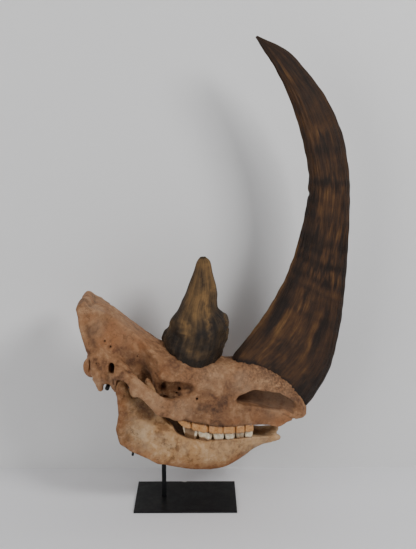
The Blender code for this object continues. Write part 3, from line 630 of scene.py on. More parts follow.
# Stains; the spots on the wall of the temporal pit and along the groove in front of the crest are painted
# shade.
stain_and_shade = spots(points, [(62, 96, 342, 26, 0.8), (84, 92, 330, 16, 1), (102, 90, 326, 12, 1),
                       (110, 88, 350, 24, 0.8), (136, 86, 356, 18, 1), (148, 84, 345, 12, 1),
                       (128, 80, 376, 22, 0.6), (40, 96, 320, 26, 0.5), (100, 90, 305, 26, 0.5),
                       (150, 86, 310, 22, 0.5), (15, 100, 340, 22, 0.4), (190, 70, 320, 22, 0.4),
                       (120, 86, 330, 60, 0.35), (60, 96, 330, 42, 0.35), (185, 75, 300, 40, 0.35),
                       (245, 56, 300, 44, 0.35), (-190, 66, 530, 28, 0.3), (-170, 60, 506, 26, 0.6),
                       (-140, 62, 492, 30, 0.5), (-40, 100, 480, 30, 0.3), (80, 90, 400, 24, 0.4),
                       (-288, 100, 600, 18, 0.6), (-280, 100, 562, 14, 0.5), (-118, 60, 470, 26, 0.7)],
              fray=13, seed=20)
gum = near_line(points, [(-22, 104, 311), (20, 101, 302), (70, 98, 292), (117, 94, 286), (160, 88, 284),
                         (215, 75, 281)], 11, seed=24)
stain_and_shade = np.maximum(stain_and_shade, 0.9 * gum * soft_step(width, 60, 72))
# Pale patches. The two on the septum, near the midline, are painted light that brightens a wall in shade.
pale = spots(points, [(-262, 90, 600, 34, 0.7), (290, 20, 350, 60, 1.0), (220, 20, 350, 40, 0.9),
                      (-10, 122, 350, 42, 0.8), (-90, 155, 385, 40, 0.7), (180, 66, 420, 46, 0.9),
                      (250, 60, 425, 40, 0.6), (90, 80, 440, 50, 0.6), (-280, 60, 668, 50, 0.8),
                      (-180, 40, 600, 60, 0.6), (-215, 110, 440, 20, 0.7), (-265, 105, 440, 24, 0.6),
                      (-140, 158, 430, 32, 0.6)], seed=40)
ochre = spots(points, [(-215, 72, 580, 46, 0.9), (-150, 60, 545, 40, 0.7), (-245, 85, 560, 30, 0.6),
                       (-300, 100, 640, 26, 0.5), (240, 58, 290, 34, 0.5), (300, 42, 284, 34, 0.7),
                       (-60, 105, 470, 26, 0.5), (-300, 60, 460, 30, 0.5), (150, 86, 290, 24, 0.6)], seed=60)
print("shares:", {"hollow_shade": hollow_shade.mean().round(3), "edge": edge.mean().round(3)})
masks = {"hollow_shade": hollow_shade, "edge": edge, "crease_shade": crease_shade, "stain_and_shade": stain_and_shade, "pale": pale, "ochre": ochre,
         "rugose": rugose}
cranium = new_piece("cranium_bone", points, quads, attributes=masks, replaced=["cranium"])

# %% [markdown]
# ## The lower jaw
#
# Each half is a deep body that carries the teeth and a tall flat branch behind it, which rises to the
# joint. The two halves have grown together at the chin. The body follows seven lines, and the branch is an
# outline in the side view with a thickness, bent to follow the jaw's width.

# %% The jaw's lines
# Each line's distance from the midline and height, at every place of JAW_X.
JAW_X = (-130, -90, -60, -30, 0, 50, 100, 150, 190, 215, 250, 280, 299)
JAW_OUTER_TOP = at(JAW_X, [(114, 300), (112, 298), (108, 286), (100, 265), (94, 248), (88, 231), (82, 230),
                           (73, 232), (66, 234), (56, 234), (49, 233), (50, 234), (40, 230)])
JAW_OUTER = at(JAW_X, [(118, 250), (116, 240), (112, 230), (108, 210), (103, 198), (97, 190), (88, 190),
                       (76, 196), (64, 205), (55, 212), (48, 217), (49, 222), (40, 224)])
JAW_OUTER_LOW = at(JAW_X, [(116, 222), (106, 182), (102, 168), (96, 157), (90, 149), (80, 142), (68, 139),
                           (58, 150), (50, 172), (44, 188), (42, 204), (44, 213), (36, 219)])
JAW_LOW = at(JAW_X, [(112, 212), (88, 169), (84, 155), (78, 145), (72, 137), (62, 129), (48, 126),
                     (34, 138), (22, 160), (16, 178), (16, 199), (18, 211), (16, 219)])
JAW_INNER_LOW = at(JAW_X, [(108, 222), (74, 182), (66, 170), (58, 160), (50, 152), (38, 145), (22, 142),
                           (0, 150), (0, 163), (0, 180), (0, 200), (0, 212), (0, 220)])
JAW_INNER = at(JAW_X, [(106, 250), (76, 240), (68, 230), (60, 215), (53, 200), (44, 192), (34, 188),
                       (14, 186), (0, 192), (0, 200), (0, 212), (0, 219), (0, 222)])
JAW_INNER_TOP = at(JAW_X, [(108, 300), (84, 298), (76, 286), (68, 265), (62, 248), (56, 236), (50, 234),
                           (42, 234), (36, 234), (30, 232), (26, 228), (28, 230), (22, 228)])
JAW_LINES = (JAW_OUTER_TOP, JAW_OUTER, JAW_OUTER_LOW, JAW_LOW, JAW_INNER_LOW, JAW_INNER, JAW_INNER_TOP)
RAMUS_OUTLINE = [(-196, 432), (-206, 404), (-205, 373), (-200, 345), (-198, 326), (-201, 312), (-208, 300),
                 (-210, 286), (-207, 269), (-201, 252), (-189, 234), (-174, 219), (-147, 203), (-116, 184),
                 (-80, 163), (-45, 180), (-31, 238), (-37, 284), (-65, 315), (-84, 354), (-88, 398),
                 (-100, 428), (-109, 443), (-120, 446), (-132, 408), (-148, 390), (-163, 392), (-172, 412),
                 (-182, 432)]
RAMUS_WIDTH = [(-210, 126), (-180, 123), (-140, 117), (-100, 104), (-60, 95), (-30, 88)]
RAMUS_HALF = [(-210, 13), (-180, 12), (-140, 10), (-90, 11), (-50, 18), (-30, 20)]


# %% Build the jaw's clay
def joined_chin(ring):
    """A ring whose points on the midline are carried over it, so that both halves are one at the chin."""
    ring = ring.copy()
    ring[ring[:, 0] < 0.5, 0] = -40
    return ring


clay = Clay((-232, 0, 106), (326, 166, 468), JAW_STEP)
sections(clay, JAW_LINES, joined_chin, sides=44)
slab(clay, RAMUS_OUTLINE, RAMUS_WIDTH, RAMUS_HALF, rounding=9, blend=10)
chain(clay, [(-189, 92, 426), (-190, 116, 431), (-189, 132, 426)], [13, 14, 12], blend=12)
chain(clay, [(-200, 118, 424), (-204, 122, 404)], [10, 9], blend=10)
chain(clay, [(-190, 122, 420), (-196, 126, 380), (-193, 127, 335), (-198, 128, 290), (-190, 126, 250)],
      [13, 12, 12, 15, 14])
chain(clay, [(290, 34, 226), (299, 38, 226)], [12, 7])
# The groove over the stand's rod, and the trough between the two halves at the chin.
chain(clay, [(-163, 80, 206), (-163, 150, 206)], [6, 6], cut=True, blend=2)
chain(clay, [(150, 0, 262), (215, 0, 248), (300, 0, 246), (330, 0, 250)], [26, 23, 20, 22], cut=True)
print("jaw grid:", clay.field.shape)

# %% Skin the jaw and roughen it
points, quads, normals, fine, broad = measured_skin(clay)
x, y, z = points.T
width = np.abs(y)
height = 1.0 * layered(points, 42, 11) + 0.45 * layered(points, 12, 14)
points = points + normals * height[:, None]
# Painted shade in the broad hollows and fine creases, as on the cranium.
hollow_shade, edge = soft_step(-broad, 0.1, 1.5), soft_step(broad, 0.8, 2.2)
crease_shade = soft_step(-fine, 0.02, 0.22) * (1 - 0.7 * soft_step(x, 140, 200) * soft_step(z, 205, 222))
# Chalky patches, the dark rim along lower and rear edge, painted shade behind and on the inner side.
chalk = spots(points, [(-168, 132, 356, 14, 0.7), (-150, 130, 310, 26, 0.6), (-135, 124, 275, 34, 0.8),
                       (-95, 116, 262, 30, 0.7), (-130, 122, 232, 30, 0.6), (-85, 110, 212, 26, 0.5),
                       (-60, 110, 248, 30, 0.6), (-10, 105, 205, 26, 0.5), (60, 98, 196, 24, 0.5),
                       (-70, 112, 330, 14, 0.9), (-55, 108, 318, 10, 0.8), (130, 86, 215, 50, 0.5),
                       (190, 64, 215, 40, 0.5), (90, 90, 180, 40, 0.4), (235, 20, 236, 50, 0.9),
                       (285, 20, 232, 36, 0.9)], fray=20, seed=80)
rim = near_line(points, [(-200, 135, 425), (-203, 135, 370), (-200, 135, 325), (-212, 133, 288),
                         (-190, 128, 230), (-150, 122, 200), (-118, 108, 180), (-60, 92, 152),
                         (30, 74, 132), (110, 56, 130), (165, 50, 152)], 50, seed=90)
top = spots(points, [(-110, 105, 440, 26, 1)], seed=93)
rim = np.maximum(rim, top)
# Painted shade where the branch lies in shadow under the cheek arch, and darker brown down its rear.
shade = spots(points, [(-132, 125, 378, 38, 1), (-105, 115, 352, 36, 1), (-150, 128, 400, 28, 1),
                       (-160, 128, 372, 20, 0.6), (-178, 130, 330, 40, 0.6), (-180, 130, 280, 44, 0.6),
                       (-150, 125, 235, 36, 0.4), (-190, 140, 428, 22, 0.6), (-200, 135, 400, 22, 0.5)],
              seed=95)
# The branch's tip, up in the shadowed temporal pit, gets painted shade too.
shade = np.maximum(shade, 0.6 * top)
# Painted shade on the inner side of the body, which lies in shadow.
inside = soft_step(width, 94, 82) * soft_step(x, 34, -6) * soft_step(z, 180, 215)
hollow_shade = hollow_shade * (1 - 0.7 * soft_step(x, 140, 200) * soft_step(z, 205, 222))
hollow_shade = np.maximum(hollow_shade, inside)
shade = np.maximum(shade, inside)
print("shares:", {"hollow_shade": hollow_shade.mean().round(3), "edge": edge.mean().round(3)})
masks = {"hollow_shade": hollow_shade, "edge": edge, "crease_shade": crease_shade, "stain_and_shade": shade, "pale": chalk, "ochre": rim,
         "rugose": 0 * rim}
mandible = new_piece("jaw_bone", points, quads, attributes=masks, replaced=["mandible"])

# %% [markdown]
# ## The nasal horn
#
# A rhinoceros horn is packed hair-like fibre, with no bone inside. This one is flat from side to side like
# a blade, and curves back over the skull. It is a stack of oval rings, one across each pair of points on
# its back and front edge. The fibres are ridges that run along it, so their pattern is a function of the
# way round.

# %% The horns' edges
# Back edge, front edge, thickness and the rise of the foot's arch over the snout, one of each for every ring.
HORN_BACK = [(156, 462), (152, 484), (203, 552), (250, 619), (294, 697), (328, 770), (353, 851), (374, 945),
             (383, 1030), (378, 1095), (357, 1187), (318, 1298), (269, 1392), (238, 1436), (214, 1474)]
HORN_FRONT = [(386, 322), (402, 332), (452, 418), (478, 500), (494, 596), (502, 690), (508, 790), (512, 900),
              (510, 1020), (502, 1095), (480, 1193), (428, 1300), (352, 1395), (302, 1440), (219, 1478)]
HORN_THICKNESS = [104, 106, 100, 90, 84, 80, 77, 74, 70, 66, 60, 48, 35, 22, 4]
HORN_ARCH = [46, 46, 24, 8, 0, 0, 0, 0, 0, 0, 0, 0, 0, 0, 0]
# The frontal horn: back edge, front edge, then half width and height of its side, ring by ring.
FRONTAL_HORN = [(-70, 530, 108, 478, 88, 468), (-72, 544, 120, 512, 93, 492), (-66, 560, 134, 556, 88, 530),
                (-52, 585, 139, 600, 77, 570), (-45, 608, 132, 621, 66, 605), (-25, 636, 107, 643, 56, 638),
                (-11, 667, 102, 668, 49, 667), (2, 693, 102, 693, 44, 693), (15, 728, 96, 726, 37, 727),
                (28, 763, 87, 758, 30, 760), (38, 794, 79, 794, 21, 794), (48, 808, 64, 810, 8, 809)]


# %% Surfaces of both horns
def horn_surface(rings, sides, shape):
    """Rings read smoothly through the listed ones. shape gives a ring's points from its listed values and
    from the angle round it, which starts at the front edge."""
    turn = np.linspace(0, 2 * math.pi, sides, endpoint=False)
    along = np.linspace(0, 1, rings)
    return turn, along, shape(turn[None, :], along[:, None])


def nasal_shape(turn, along):
    """Ovals between back and front edge, blunter in front, whose foot is arched over the snout."""
    listed = np.column_stack([HORN_BACK, HORN_FRONT, HORN_THICKNESS, HORN_ARCH]).astype(float)
    read = resampled(listed, along.size)[:, :, None]
    bx, bz, fx, fz, wide, rise = [read[:, i] for i in range(6)]
    forward = 0.5 * (1 + np.cos(turn))
    y = np.sin(turn) * (1 - 0.12 * np.cos(turn)) * wide / 2
    z = bz + (fz - bz) * forward + 4 * rise * forward * (1 - forward)
    return np.stack([bx + (fx - bx) * forward, y, z], -1)


def frontal_shape(turn, along):
    """Ovals that hang lower at the sides than on the midline, as the skirt straddles the forehead."""
    read = resampled(np.array(FRONTAL_HORN, float), along.size)[:, :, None]
    bx, bz, fx, fz, half, side = [read[:, i] for i in range(6)]
    forward = np.cos(turn)
    ends = np.where(forward > 0, fz, bz)
    x = (bx + fx) / 2 + forward * (fx - bx) / 2
    return np.stack([x, np.sin(turn) * half, side + (ends - side) * forward**2], -1)


def grid_normals(rings):
    """The normals of a grid of rings: the cross product of the steps round and along it."""
    around = np.roll(rings, -1, 1) - np.roll(rings, 1, 1)
    up = np.gradient(rings, axis=0)
    normal = np.cross(around, up)
    return normal / np.maximum(np.linalg.norm(normal, axis=-1, keepdims=True), 1e-9)


def tones(across, along, places, seed, grain):
    """Adds up soft oval patches (along, across, reach along, reach across, strength). The patches are read at
    places that noise has moved, mostly along the fibres, so they fray into strands."""
    spot = np.column_stack([across.ravel() * grain, along.ravel() * 20, np.zeros(across.size)])
    shift = layered(spot, 1.6, seed, 3).reshape(across.shape)
    strand = layered(spot * (1, 0.35, 1), 0.7, seed + 5, 3).reshape(across.shape)
    total = np.zeros(across.shape)
    for a, b, long, wide, strength in places:
        gap = ((along + 0.045 * strand + 0.02 * shift - a) / long) ** 2
        gap = gap + ((across + 0.07 * shift + 0.03 * strand - b) / wide) ** 2
        total = total + strength * np.exp(-gap)
    return np.clip(total, -1, 1)


def strand_relief(turn, along, thick, long, seed):
    """Fibre ridges: layered noise read at (radius cos, radius sin, length), far finer round than along."""
    c, s, t = np.broadcast_arrays(np.cos(turn)[None], np.sin(turn)[None], along[:, None])
    spot = np.stack([c.ravel() * thick, s.ravel() * thick, t.ravel() * long], -1)
    return layered(spot, 3.0, seed, 3).reshape(c.shape)


def horn_piece(name, rings, turn, along, tone, replaced):
    """Closes a horn's rings and stores, for its material, how far along and how far round each point is."""
    count, sides = rings.shape[:2]
    points = tube_points(rings)
    quads, ends = ring_faces(count, sides)
    length = np.repeat(along, sides)
    fibre = np.stack([np.tile(np.cos(turn), count), np.tile(np.sin(turn), count), length], -1)
    fibre = np.concatenate([fibre, [[0, 0, 0], [0, 0, 1]]])
    extra = {"fibre": fibre, "tone": np.concatenate([tone.ravel(), [-1, -0.5]])}
    return new_piece(name, points, quads, ends, extra, replaced)


# %% The nasal horn
# Its patches: along the horn, across it (0 at the back edge, 1 in front), their reach both ways, and
# strength, above nought for ochre and below for nearly black.
NASAL_TONES = [
    (0.90, 0.5, 0.09, 1.0, -0.35), (0.832, 0.58, 0.016, 0.2, -0.8), (0.806, 0.2, 0.02, 0.18, 0.75),
    (0.781, 0.23, 0.014, 0.14, -0.6), (0.75, 0.12, 0.03, 0.18, 0.75), (0.713, 0.4, 0.02, 0.22, 0.65),
    (0.683, 0.43, 0.014, 0.3, -0.5), (0.64, 0.1, 0.035, 0.1, 0.6), (0.628, 0.48, 0.03, 0.09, 0.65),
    (0.588, 0.55, 0.012, 0.5, -0.75), (0.551, 0.38, 0.016, 0.13, 0.85), (0.57, 0.8, 0.025, 0.13, 0.45),
    (0.519, 0.33, 0.022, 0.2, 0.8), (0.54, 0.6, 0.03, 0.06, 0.5), (0.53, 0.06, 0.03, 0.12, -0.6),
    (0.504, 0.45, 0.008, 0.5, -0.6), (0.479, 0.8, 0.014, 0.16, 0.75), (0.487, 0.5, 0.016, 0.1, 0.45),
    (0.458, 0.2, 0.02, 0.22, -0.8), (0.439, 0.58, 0.012, 0.16, 0.7), (0.455, 0.85, 0.008, 0.2, -0.5),
    (0.407, 0.5, 0.008, 0.5, -0.85), (0.387, 0.55, 0.012, 0.25, 0.6), (0.381, 0.77, 0.022, 0.1, 0.95),
    (0.37, 0.63, 0.012, 0.08, -0.75), (0.372, 0.4, 0.015, 0.12, 0.6), (0.36, 0.12, 0.03, 0.1, -0.6),
    (0.324, 0.26, 0.03, 0.05, 0.75), (0.309, 0.42, 0.035, 0.05, 0.85), (0.301, 0.32, 0.02, 0.05, -0.7),
    (0.34, 0.85, 0.04, 0.12, 0.45), (0.28, 0.52, 0.03, 0.06, -0.5), (0.245, 0.26, 0.05, 0.05, 0.85),
    (0.237, 0.40, 0.03, 0.07, 0.95), (0.247, 0.64, 0.045, 0.035, 0.95), (0.26, 0.74, 0.05, 0.05, -0.85),
    (0.212, 0.66, 0.03, 0.05, 0.8), (0.2, 0.5, 0.05, 0.05, 0.35), (0.16, 0.42, 0.05, 0.05, -0.4),
    (0.19, 0.26, 0.03, 0.04, 0.8), (0.132, 0.27, 0.045, 0.07, 1.0), (0.098, 0.29, 0.03, 0.08, 0.8),
    (0.09, 0.12, 0.04, 0.06, 0.6), (0.147, 0.67, 0.035, 0.06, 0.6), (0.1, 0.66, 0.025, 0.06, 0.6),
    (0.104, 0.76, 0.02, 0.05, 0.5), (0.12, 0.5, 0.02, 0.05, 0.45), (0.154, 0.95, 0.2, 0.07, -0.7),
    (0.085, 0.84, 0.03, 0.1, -0.8), (0.077, 0.52, 0.015, 0.12, -0.7), (0.28, 0.1, 0.07, 0.045, -0.9),
    (0.18, 0.12, 0.06, 0.05, -0.9), (0.237, 0.15, 0.03, 0.05, -0.6),
]
NASAL_BANDS = [(0.683, 0.012, 0.5), (0.588, 0.011, 0.9), (0.535, 0.008, 0.5), (0.504, 0.009, 0.8),
               (0.455, 0.012, 0.9), (0.43, 0.006, 0.5), (0.407, 0.008, 0.8), (0.365, 0.01, 0.8),
               (0.335, 0.007, 0.6), (0.27, 0.008, 0.5)]
turn, along, rings = horn_surface(420, 232, nasal_shape)
forward = 0.5 * (1 + np.cos(turn))[None, :] + 0 * along[:, None]
length = along[:, None] + 0 * forward
tone = tones(forward, length, NASAL_TONES, 5, 14)
strip = np.exp(-(forward / 0.035) ** 2) * soft_step(length, 0.12, 0.2) * soft_step(length, 0.47, 0.4)
# Dark bands run across the horn, wavy and broken: (along, reach along, strength).
band_places = np.column_stack([length.ravel() * 60, forward.ravel() * 9, 0 * length.ravel()])
wavy = layered(band_places, 4, 12, 3).reshape(length.shape)
for middle, reach, strength in NASAL_BANDS:
    tone = tone - strength * np.exp(-((length + 0.006 * wavy - middle) / reach) ** 2) * (0.7 + 0.5 * wavy)
tone = np.clip(tone + 2.2 * strip, -1, 1)
foot = layered(np.stack([np.cos(turn) * 60, np.sin(turn) * 60, 0 * turn], -1), 14, 3, 3)[None]
# The foot is painted near black where it meets the bone: a painted shadow line along the joint.
rim = soft_step(length, 0.078 + 0.012 * foot, 0.058 + 0.006 * foot)
tone = tone * (1 - rim) - rim
normals = grid_normals(rings)
ridges = strand_relief(turn, along, 52, 46, 21)
growth_places = np.stack([length.ravel() * 90, forward.ravel() * 9, 0 * forward.ravel()], -1)
growth = layered(growth_places, 9, 8).reshape(forward.shape)
bands = np.cos(length * 150 + 2.5 * growth)
calm = soft_step(length, 0.95, 0.75)
lift = (1.5 * ridges + 0.5 * bands) * (0.25 + 0.75 * calm)
lift = lift - 4.5 * np.exp(-((length - 0.55) / 0.008) ** 2 - (forward / 0.05) ** 2)
lift = lift + 2 * np.exp(-((length - 0.568) / 0.012) ** 2 - (forward / 0.06) ** 2)
lift = lift + 3.5 * foot * soft_step(length, 0.08, 0.045)
rings = rings + normals * lift[..., None]
nasal_horn = horn_piece("nasal_horn_shell", rings, turn, along, tone, ["nasal_horn"])
print("nasal horn relief, mm:", lift.min().round(2), "to", lift.max().round(2))

# %% [markdown]
# ## The frontal horn
#
# The second horn stands on the forehead. Its upper part is a tan cone of fibre, worn round at the tip. Its
# foot has weathered into a dark, lumpy skirt with a wavy lower edge, so lumps are added there, and only
# fine strands above it.

# %% The frontal horn
# Its patches, as height and distance forward in mm / 100: (z, x, reach in z, reach in x, strength).
FRONTAL_TONES = [
    (7.86, 0.80, 0.34, 0.13, 0.85), (7.95, 0.5, 0.15, 0.25, 0.25), (7.45, 0.53, 0.26, 0.05, -0.7),
    (7.1, 0.46, 0.2, 0.1, -0.35), (6.95, 0.57, 0.2, 0.1, 0.75), (6.6, 0.65, 0.25, 0.06, 0.95),
    (6.1, 0.72, 0.3, 0.06, 0.9), (5.75, 0.77, 0.2, 0.05, 0.6), (7.1, 0.88, 0.3, 0.08, 0.75),
    (6.7, 0.36, 0.5, 0.2, 0.5), (6.3, 0.4, 0.2, 0.15, 0.35), (6.9, -0.1, 0.5, 0.09, -0.75),
    (6.35, -0.3, 0.3, 0.13, -0.8), (6.75, 0.86, 0.25, 0.06, -0.5), (6.1, 1.0, 0.35, 0.2, -1.0),
    (6.0, 1.15, 0.3, 0.14, -1.0),
    (5.75, 1.02, 0.35, 0.12, -0.95), (5.6, 0.55, 0.36, 0.22, -1.0), (6.05, 0.04, 0.14, 0.12, 0.8),
    (6.08, -0.1, 0.12, 0.12, 0.7), (5.75, 0.04, 0.2, 0.1, 0.7), (5.6, -0.25, 0.3, 0.18, -0.7),
    (5.3, 0.14, 0.1, 0.09, 0.7), (5.2, 0.43, 0.12, 0.12, 0.5), (5.25, 0.69, 0.1, 0.08, 0.5),
    (6.3, 1.26, 0.12, 0.04, 0.7), (5.8, 1.34, 0.35, 0.05, 0.8), (5.65, 1.18, 0.15, 0.06, 0.4),
    (5.3, 0.95, 0.25, 0.15, -0.9), (5.0, -0.3, 0.3, 0.35, -1.0), (4.8, 0.4, 0.18, 0.6, -1.0),
    (5.5, -0.62, 0.35, 0.1, -0.9), (4.95, 1.05, 0.2, 0.2, -0.9), (6.2, 0.25, 0.2, 0.08, -0.3),
]
turn, along, rings = horn_surface(260, 250, frontal_shape)
skirt = soft_step(along, 0.5, 0.22)[:, None]
normals = grid_normals(rings)
flat = rings.reshape(-1, 3)
knobs = layered(flat, 30, 41, 4).reshape(skirt.shape[0], -1)
ridges = strand_relief(turn, along, 34, 16, 31)
lift = (0.9 + 0.8 * skirt) * ridges + 4.5 * skirt * knobs
rings = rings + normals * lift[..., None]
around = np.stack([np.cos(turn) * 100, np.sin(turn) * 85, 0 * turn], -1)
wave = 6 * lumps(around, 21, 6) + 3.5 * lumps(around, 11, 7)
rings[..., 2] += (wave[None] * soft_step(along, 0.3, 0.0)[:, None])
tone = tones(rings[..., 0] / 100, rings[..., 2] / 100, FRONTAL_TONES, 9, 7)
edge = soft_step(np.abs(np.cos(turn)), 0.93, 1.0)[None] * soft_step(along, 0.2, 0.6)[:, None]
tone = tone - 0.6 * edge - 0.45 * skirt - 0.9 * soft_step(along, 0.12, 0.0)[:, None]
tone = np.clip(tone - soft_step(along, 0.955, 1.0)[:, None], -1, 1)
frontal_horn = horn_piece("frontal_horn_shell", rings, turn, along, tone, ["frontal_horn"])
print("frontal horn relief, mm:", lift.min().round(2), "to", lift.max().round(2))

# %% [markdown]
# ## The teeth
#
# A woolly rhinoceros chewed grass with tall cheek teeth. From outside each is a block with a rib or two
# down its face. One function makes them all: a rounded rectangle carried from root to bite, pulled in along
# upright grooves, with a worn bite surface.

# %% The rows of teeth
# Name, x at the back and at the front. The two rows bite along BITE.
UPPER_TEETH = [("m3", -22, 17), ("m2", 19, 71), ("m1", 73, 117), ("p4", 119, 156), ("p3", 158, 185),
               ("p2", 187, 213)]
LOWER_TEETH = [("m3", -7, 38), ("m2", 41, 85), ("m1", 89, 122), ("p4", 126, 156), ("p3", 160, 185),
               ("p2", 188, 213)]
BITE = [(-30, 292), (0, 281), (40, 268), (80, 260), (150, 257), (220, 259)]
UPPER_ROW = [(-30, 101), (20, 99), (70, 97), (120, 93), (160, 88), (215, 74)]
LOWER_ROW = [(-30, 92), (40, 86), (90, 82), (150, 75), (215, 61)]


def tooth(name, back, front, upper, side, seed):
    """One tooth, as rings from root to bite. Round a ring: a rounded rectangle, (|cos|, |sin|) to the power
    0.4, with a fold where two lobes meet and small ribs beside it. The root leans in under the gum, a lower
    tooth narrows towards it, and the bite end draws in to a worn, slightly hollow top."""
    sides = 72
    turn = np.linspace(0, 2 * math.pi, sides, endpoint=False)
    row, depth = (UPPER_ROW, 46 if name[0] == "m" else 37) if upper else (LOWER_ROW, 28)
    outer = curve_at(row, [back, front])[:, 0]
    middle = np.array([(back + front) / 2, outer.mean() - depth / 2])
    long, lean = (front - back) / 2, math.atan2(outer[0] - outer[1], front - back)
    profile = np.array([(0, 0.9), (0.3, 0.95), (0.6, 0.99), (0.85, 1.0), (0.94, 0.97), (0.985, 0.88),
                        (1.0, 0.76), (1.0, 0.5), (0.97, 0.2)])
    profile = resampled(profile, 26)
    up, scale = profile[:, :1], profile[:, 1:]
    c, s = np.cos(turn), np.sin(turn)
    u = np.sign(c) * np.abs(c) ** 0.4
    v = np.sign(s) * np.abs(s) ** 0.4
    two = float(name in ("m2", "m1") or (not upper and name in ("p4", "p3")))
    fold = (0.2 if upper else 0.34) * two * np.exp(-((u - 0.08) * (7 if upper else 5)) ** 2)
    ribs = 0.05 * np.cos(u * 9 + seed) * np.exp(-(((up - 0.7) / 0.5) ** 2))
    narrow = 1 - (0.03 if upper else 0.1) * soft_step(up, 0.85, 0.3)
    x = u[None] * scale * (long + (1.3 if upper else 0.8)) * narrow
    w = v[None] * scale * depth / 2 * (1 - (fold + ribs) * (v > 0))
    lean_in = (9 if upper else 6) * soft_step(up, 0.55, 0.1) + (2.5 if upper else 0) * soft_step(up, 0.9, 0.6)
    if name == "m2" and not upper:
        lean_in = lean_in - 5 * np.exp(-(((u[None] - 0.41) / (0.06 + 0.4 * up)) ** 2)) * (v[None] > 0)
    bite = curve_at(BITE, middle[0] + x.ravel())[:, 0].reshape(x.shape)
    worn = 1.6 * np.cos(u * 5 + seed) + 1.2 * np.cos(u * 11 + 2 * seed)
    if name == "m3" and upper:
        worn = worn - 13 * soft_step(u, -0.1, -1)
    worn = worn * soft_step(up, 0.6, 0.95)
    root = bite + (40 if upper else -36)
    z = root + (bite + (0.6 - 0.5 * worn if upper else -0.6 + 0.4 * worn) - root) * up
    px = middle[0] + x * math.cos(lean) + w * math.sin(lean)
    pw = middle[1] - lean_in + w * math.cos(lean) - x * math.sin(lean)
    rings = np.stack([px, side * pw, z], -1)
    points = tube_points(rings)
    quads, ends = ring_faces(*rings.shape[:2])
    if (side > 0) == upper:
        quads, ends = quads[:, ::-1], ends[:, ::-1]
    label = ("upper_" if upper else "lower_") + name + ("_right" if side < 0 else "_left")
    bump = layered(points, 6, seed, 3)[:, None] * 0.5
    points = points + bump * np.array([0.3, 1, 0.3])
    height = np.concatenate([np.repeat(profile[:, 0], sides), [0, 1]])
    bare = 0.0 * x
    if not upper and name == "m3":
        bare = soft_step(np.abs(u + 0.1), 0.8, 0.62)[None] * (v > 0) + bare
    if not upper and name == "p3":
        bare = 0.55 + 0.4 * soft_step(up, 0.75, 0.5) + 0 * x
    bare = np.concatenate([bare.ravel(), [0, 0]])
    extra = {"height": height, "bare": bare}
    return new_piece(label + "_tooth", points, quads, ends, extra, [label])


teeth = {True: [], False: []}
for upper, row in ((True, UPPER_TEETH), (False, LOWER_TEETH)):
    for number, (name, back, front) in enumerate(row):
        for side in (-1, 1):
            teeth[upper].append(tooth(name, back, front, upper, side, 10 * number + side + 1))

# %% [markdown]
# ## Tools for materials
#
# A material is a small network of nodes. Writing it as code is easier to read when a node, its inputs and
# its links are made in one call. An effect that several materials share is a node group: it is built once,
# and each material sets its own values on it.


# %% Node helpers
def srgb(red, green, blue):
    """A colour as it looks on a screen, from 0 to 255, made linear: over 255, to about the power 2.2."""
    linear = []
    for c in (red, green, blue):
        linear.append(((c / 255 + 0.055) / 1.055) ** 2.4 if c > 10 else c / 255 / 12.92)
    return (*linear, 1)


def node(tree, kind, inputs=None, **settings):
    """Adds a node, sets its properties, and fills its inputs with values or with other nodes' outputs."""
    made = tree.nodes.new(kind)
    for key, value in settings.items():
        setattr(made, key, value)
    for key, value in (inputs or {}).items():
        if isinstance(value, bpy.types.NodeSocket):
            tree.links.new(value, made.inputs[key])
        else:
            made.inputs[key].default_value = value
    return made


def noise(tree, point, scale, detail=4.0, roughness=0.55, distortion=0.0):
    """A noise texture's value, read at a point."""
    made = node(tree, "ShaderNodeTexNoise", {"Vector": point, "Scale": scale, "Detail": detail,
                                             "Roughness": roughness, "Distortion": distortion})
    return made.outputs["Fac"]


def span(tree, value, low, high, to_low=0.0, to_high=1.0):
    """Stretches a value smoothly from one range to another, and holds it at the ends."""
    made = node(tree, "ShaderNodeMapRange", {"Value": value, "From Min": low, "From Max": high,
                                             "To Min": to_low, "To Max": to_high},
                interpolation_type="SMOOTHSTEP")
    return made.outputs["Result"]


def maths(tree, operation, a, b):
    """A sum, product or comparison of two values."""
    return node(tree, "ShaderNodeMath", {0: a, 1: b}, operation=operation).outputs[0]


def plus(tree, a, b):
    return maths(tree, "ADD", a, b)


def minus(tree, a, b):
    return maths(tree, "SUBTRACT", a, b)


def times(tree, a, b):
    return maths(tree, "MULTIPLY", a, b)


def mixed(tree, amount, a, b):
    """Two colours mixed by an amount, which the node holds between 0 and 1."""
    return node(tree, "ShaderNodeMix", {"Factor": amount, 6: a, 7: b}, data_type="RGBA").outputs[2]


def tinted(tree, colour, mask, strength, tint):
    """A colour with another laid over it where a mask says so."""
    return mixed(tree, times(tree, mask, strength), colour, tint)


def group(name, inputs, outputs):
    """A new node group with named inputs and outputs: (name, kind, default) and (name, kind)."""
    tree = bpy.data.node_groups.new(name, "ShaderNodeTree")
    for label, kind, default in inputs:
        socket = tree.interface.new_socket(label, in_out="INPUT", socket_type="NodeSocket" + kind)
        if default is not None:
            socket.default_value = default
    for label, kind in outputs:
        tree.interface.new_socket(label, in_out="OUTPUT", socket_type="NodeSocket" + kind)
    print("node group", name, "takes", [row[0] for row in inputs], "and gives", [row[0] for row in outputs])
    return tree, tree.nodes.new("NodeGroupInput").outputs, tree.nodes.new("NodeGroupOutput").inputs


def use(tree, made, **inputs):
    """Places a group in a material. An underscore in an input's name stands for a space."""
    placed = node(tree, "ShaderNodeGroup", node_tree=made)
    for key, value in inputs.items():
        socket = placed.inputs[key.replace("_", " ")]
        if isinstance(value, bpy.types.NodeSocket):
            tree.links.new(value, socket)
        else:
            socket.default_value = value
    return placed.outputs


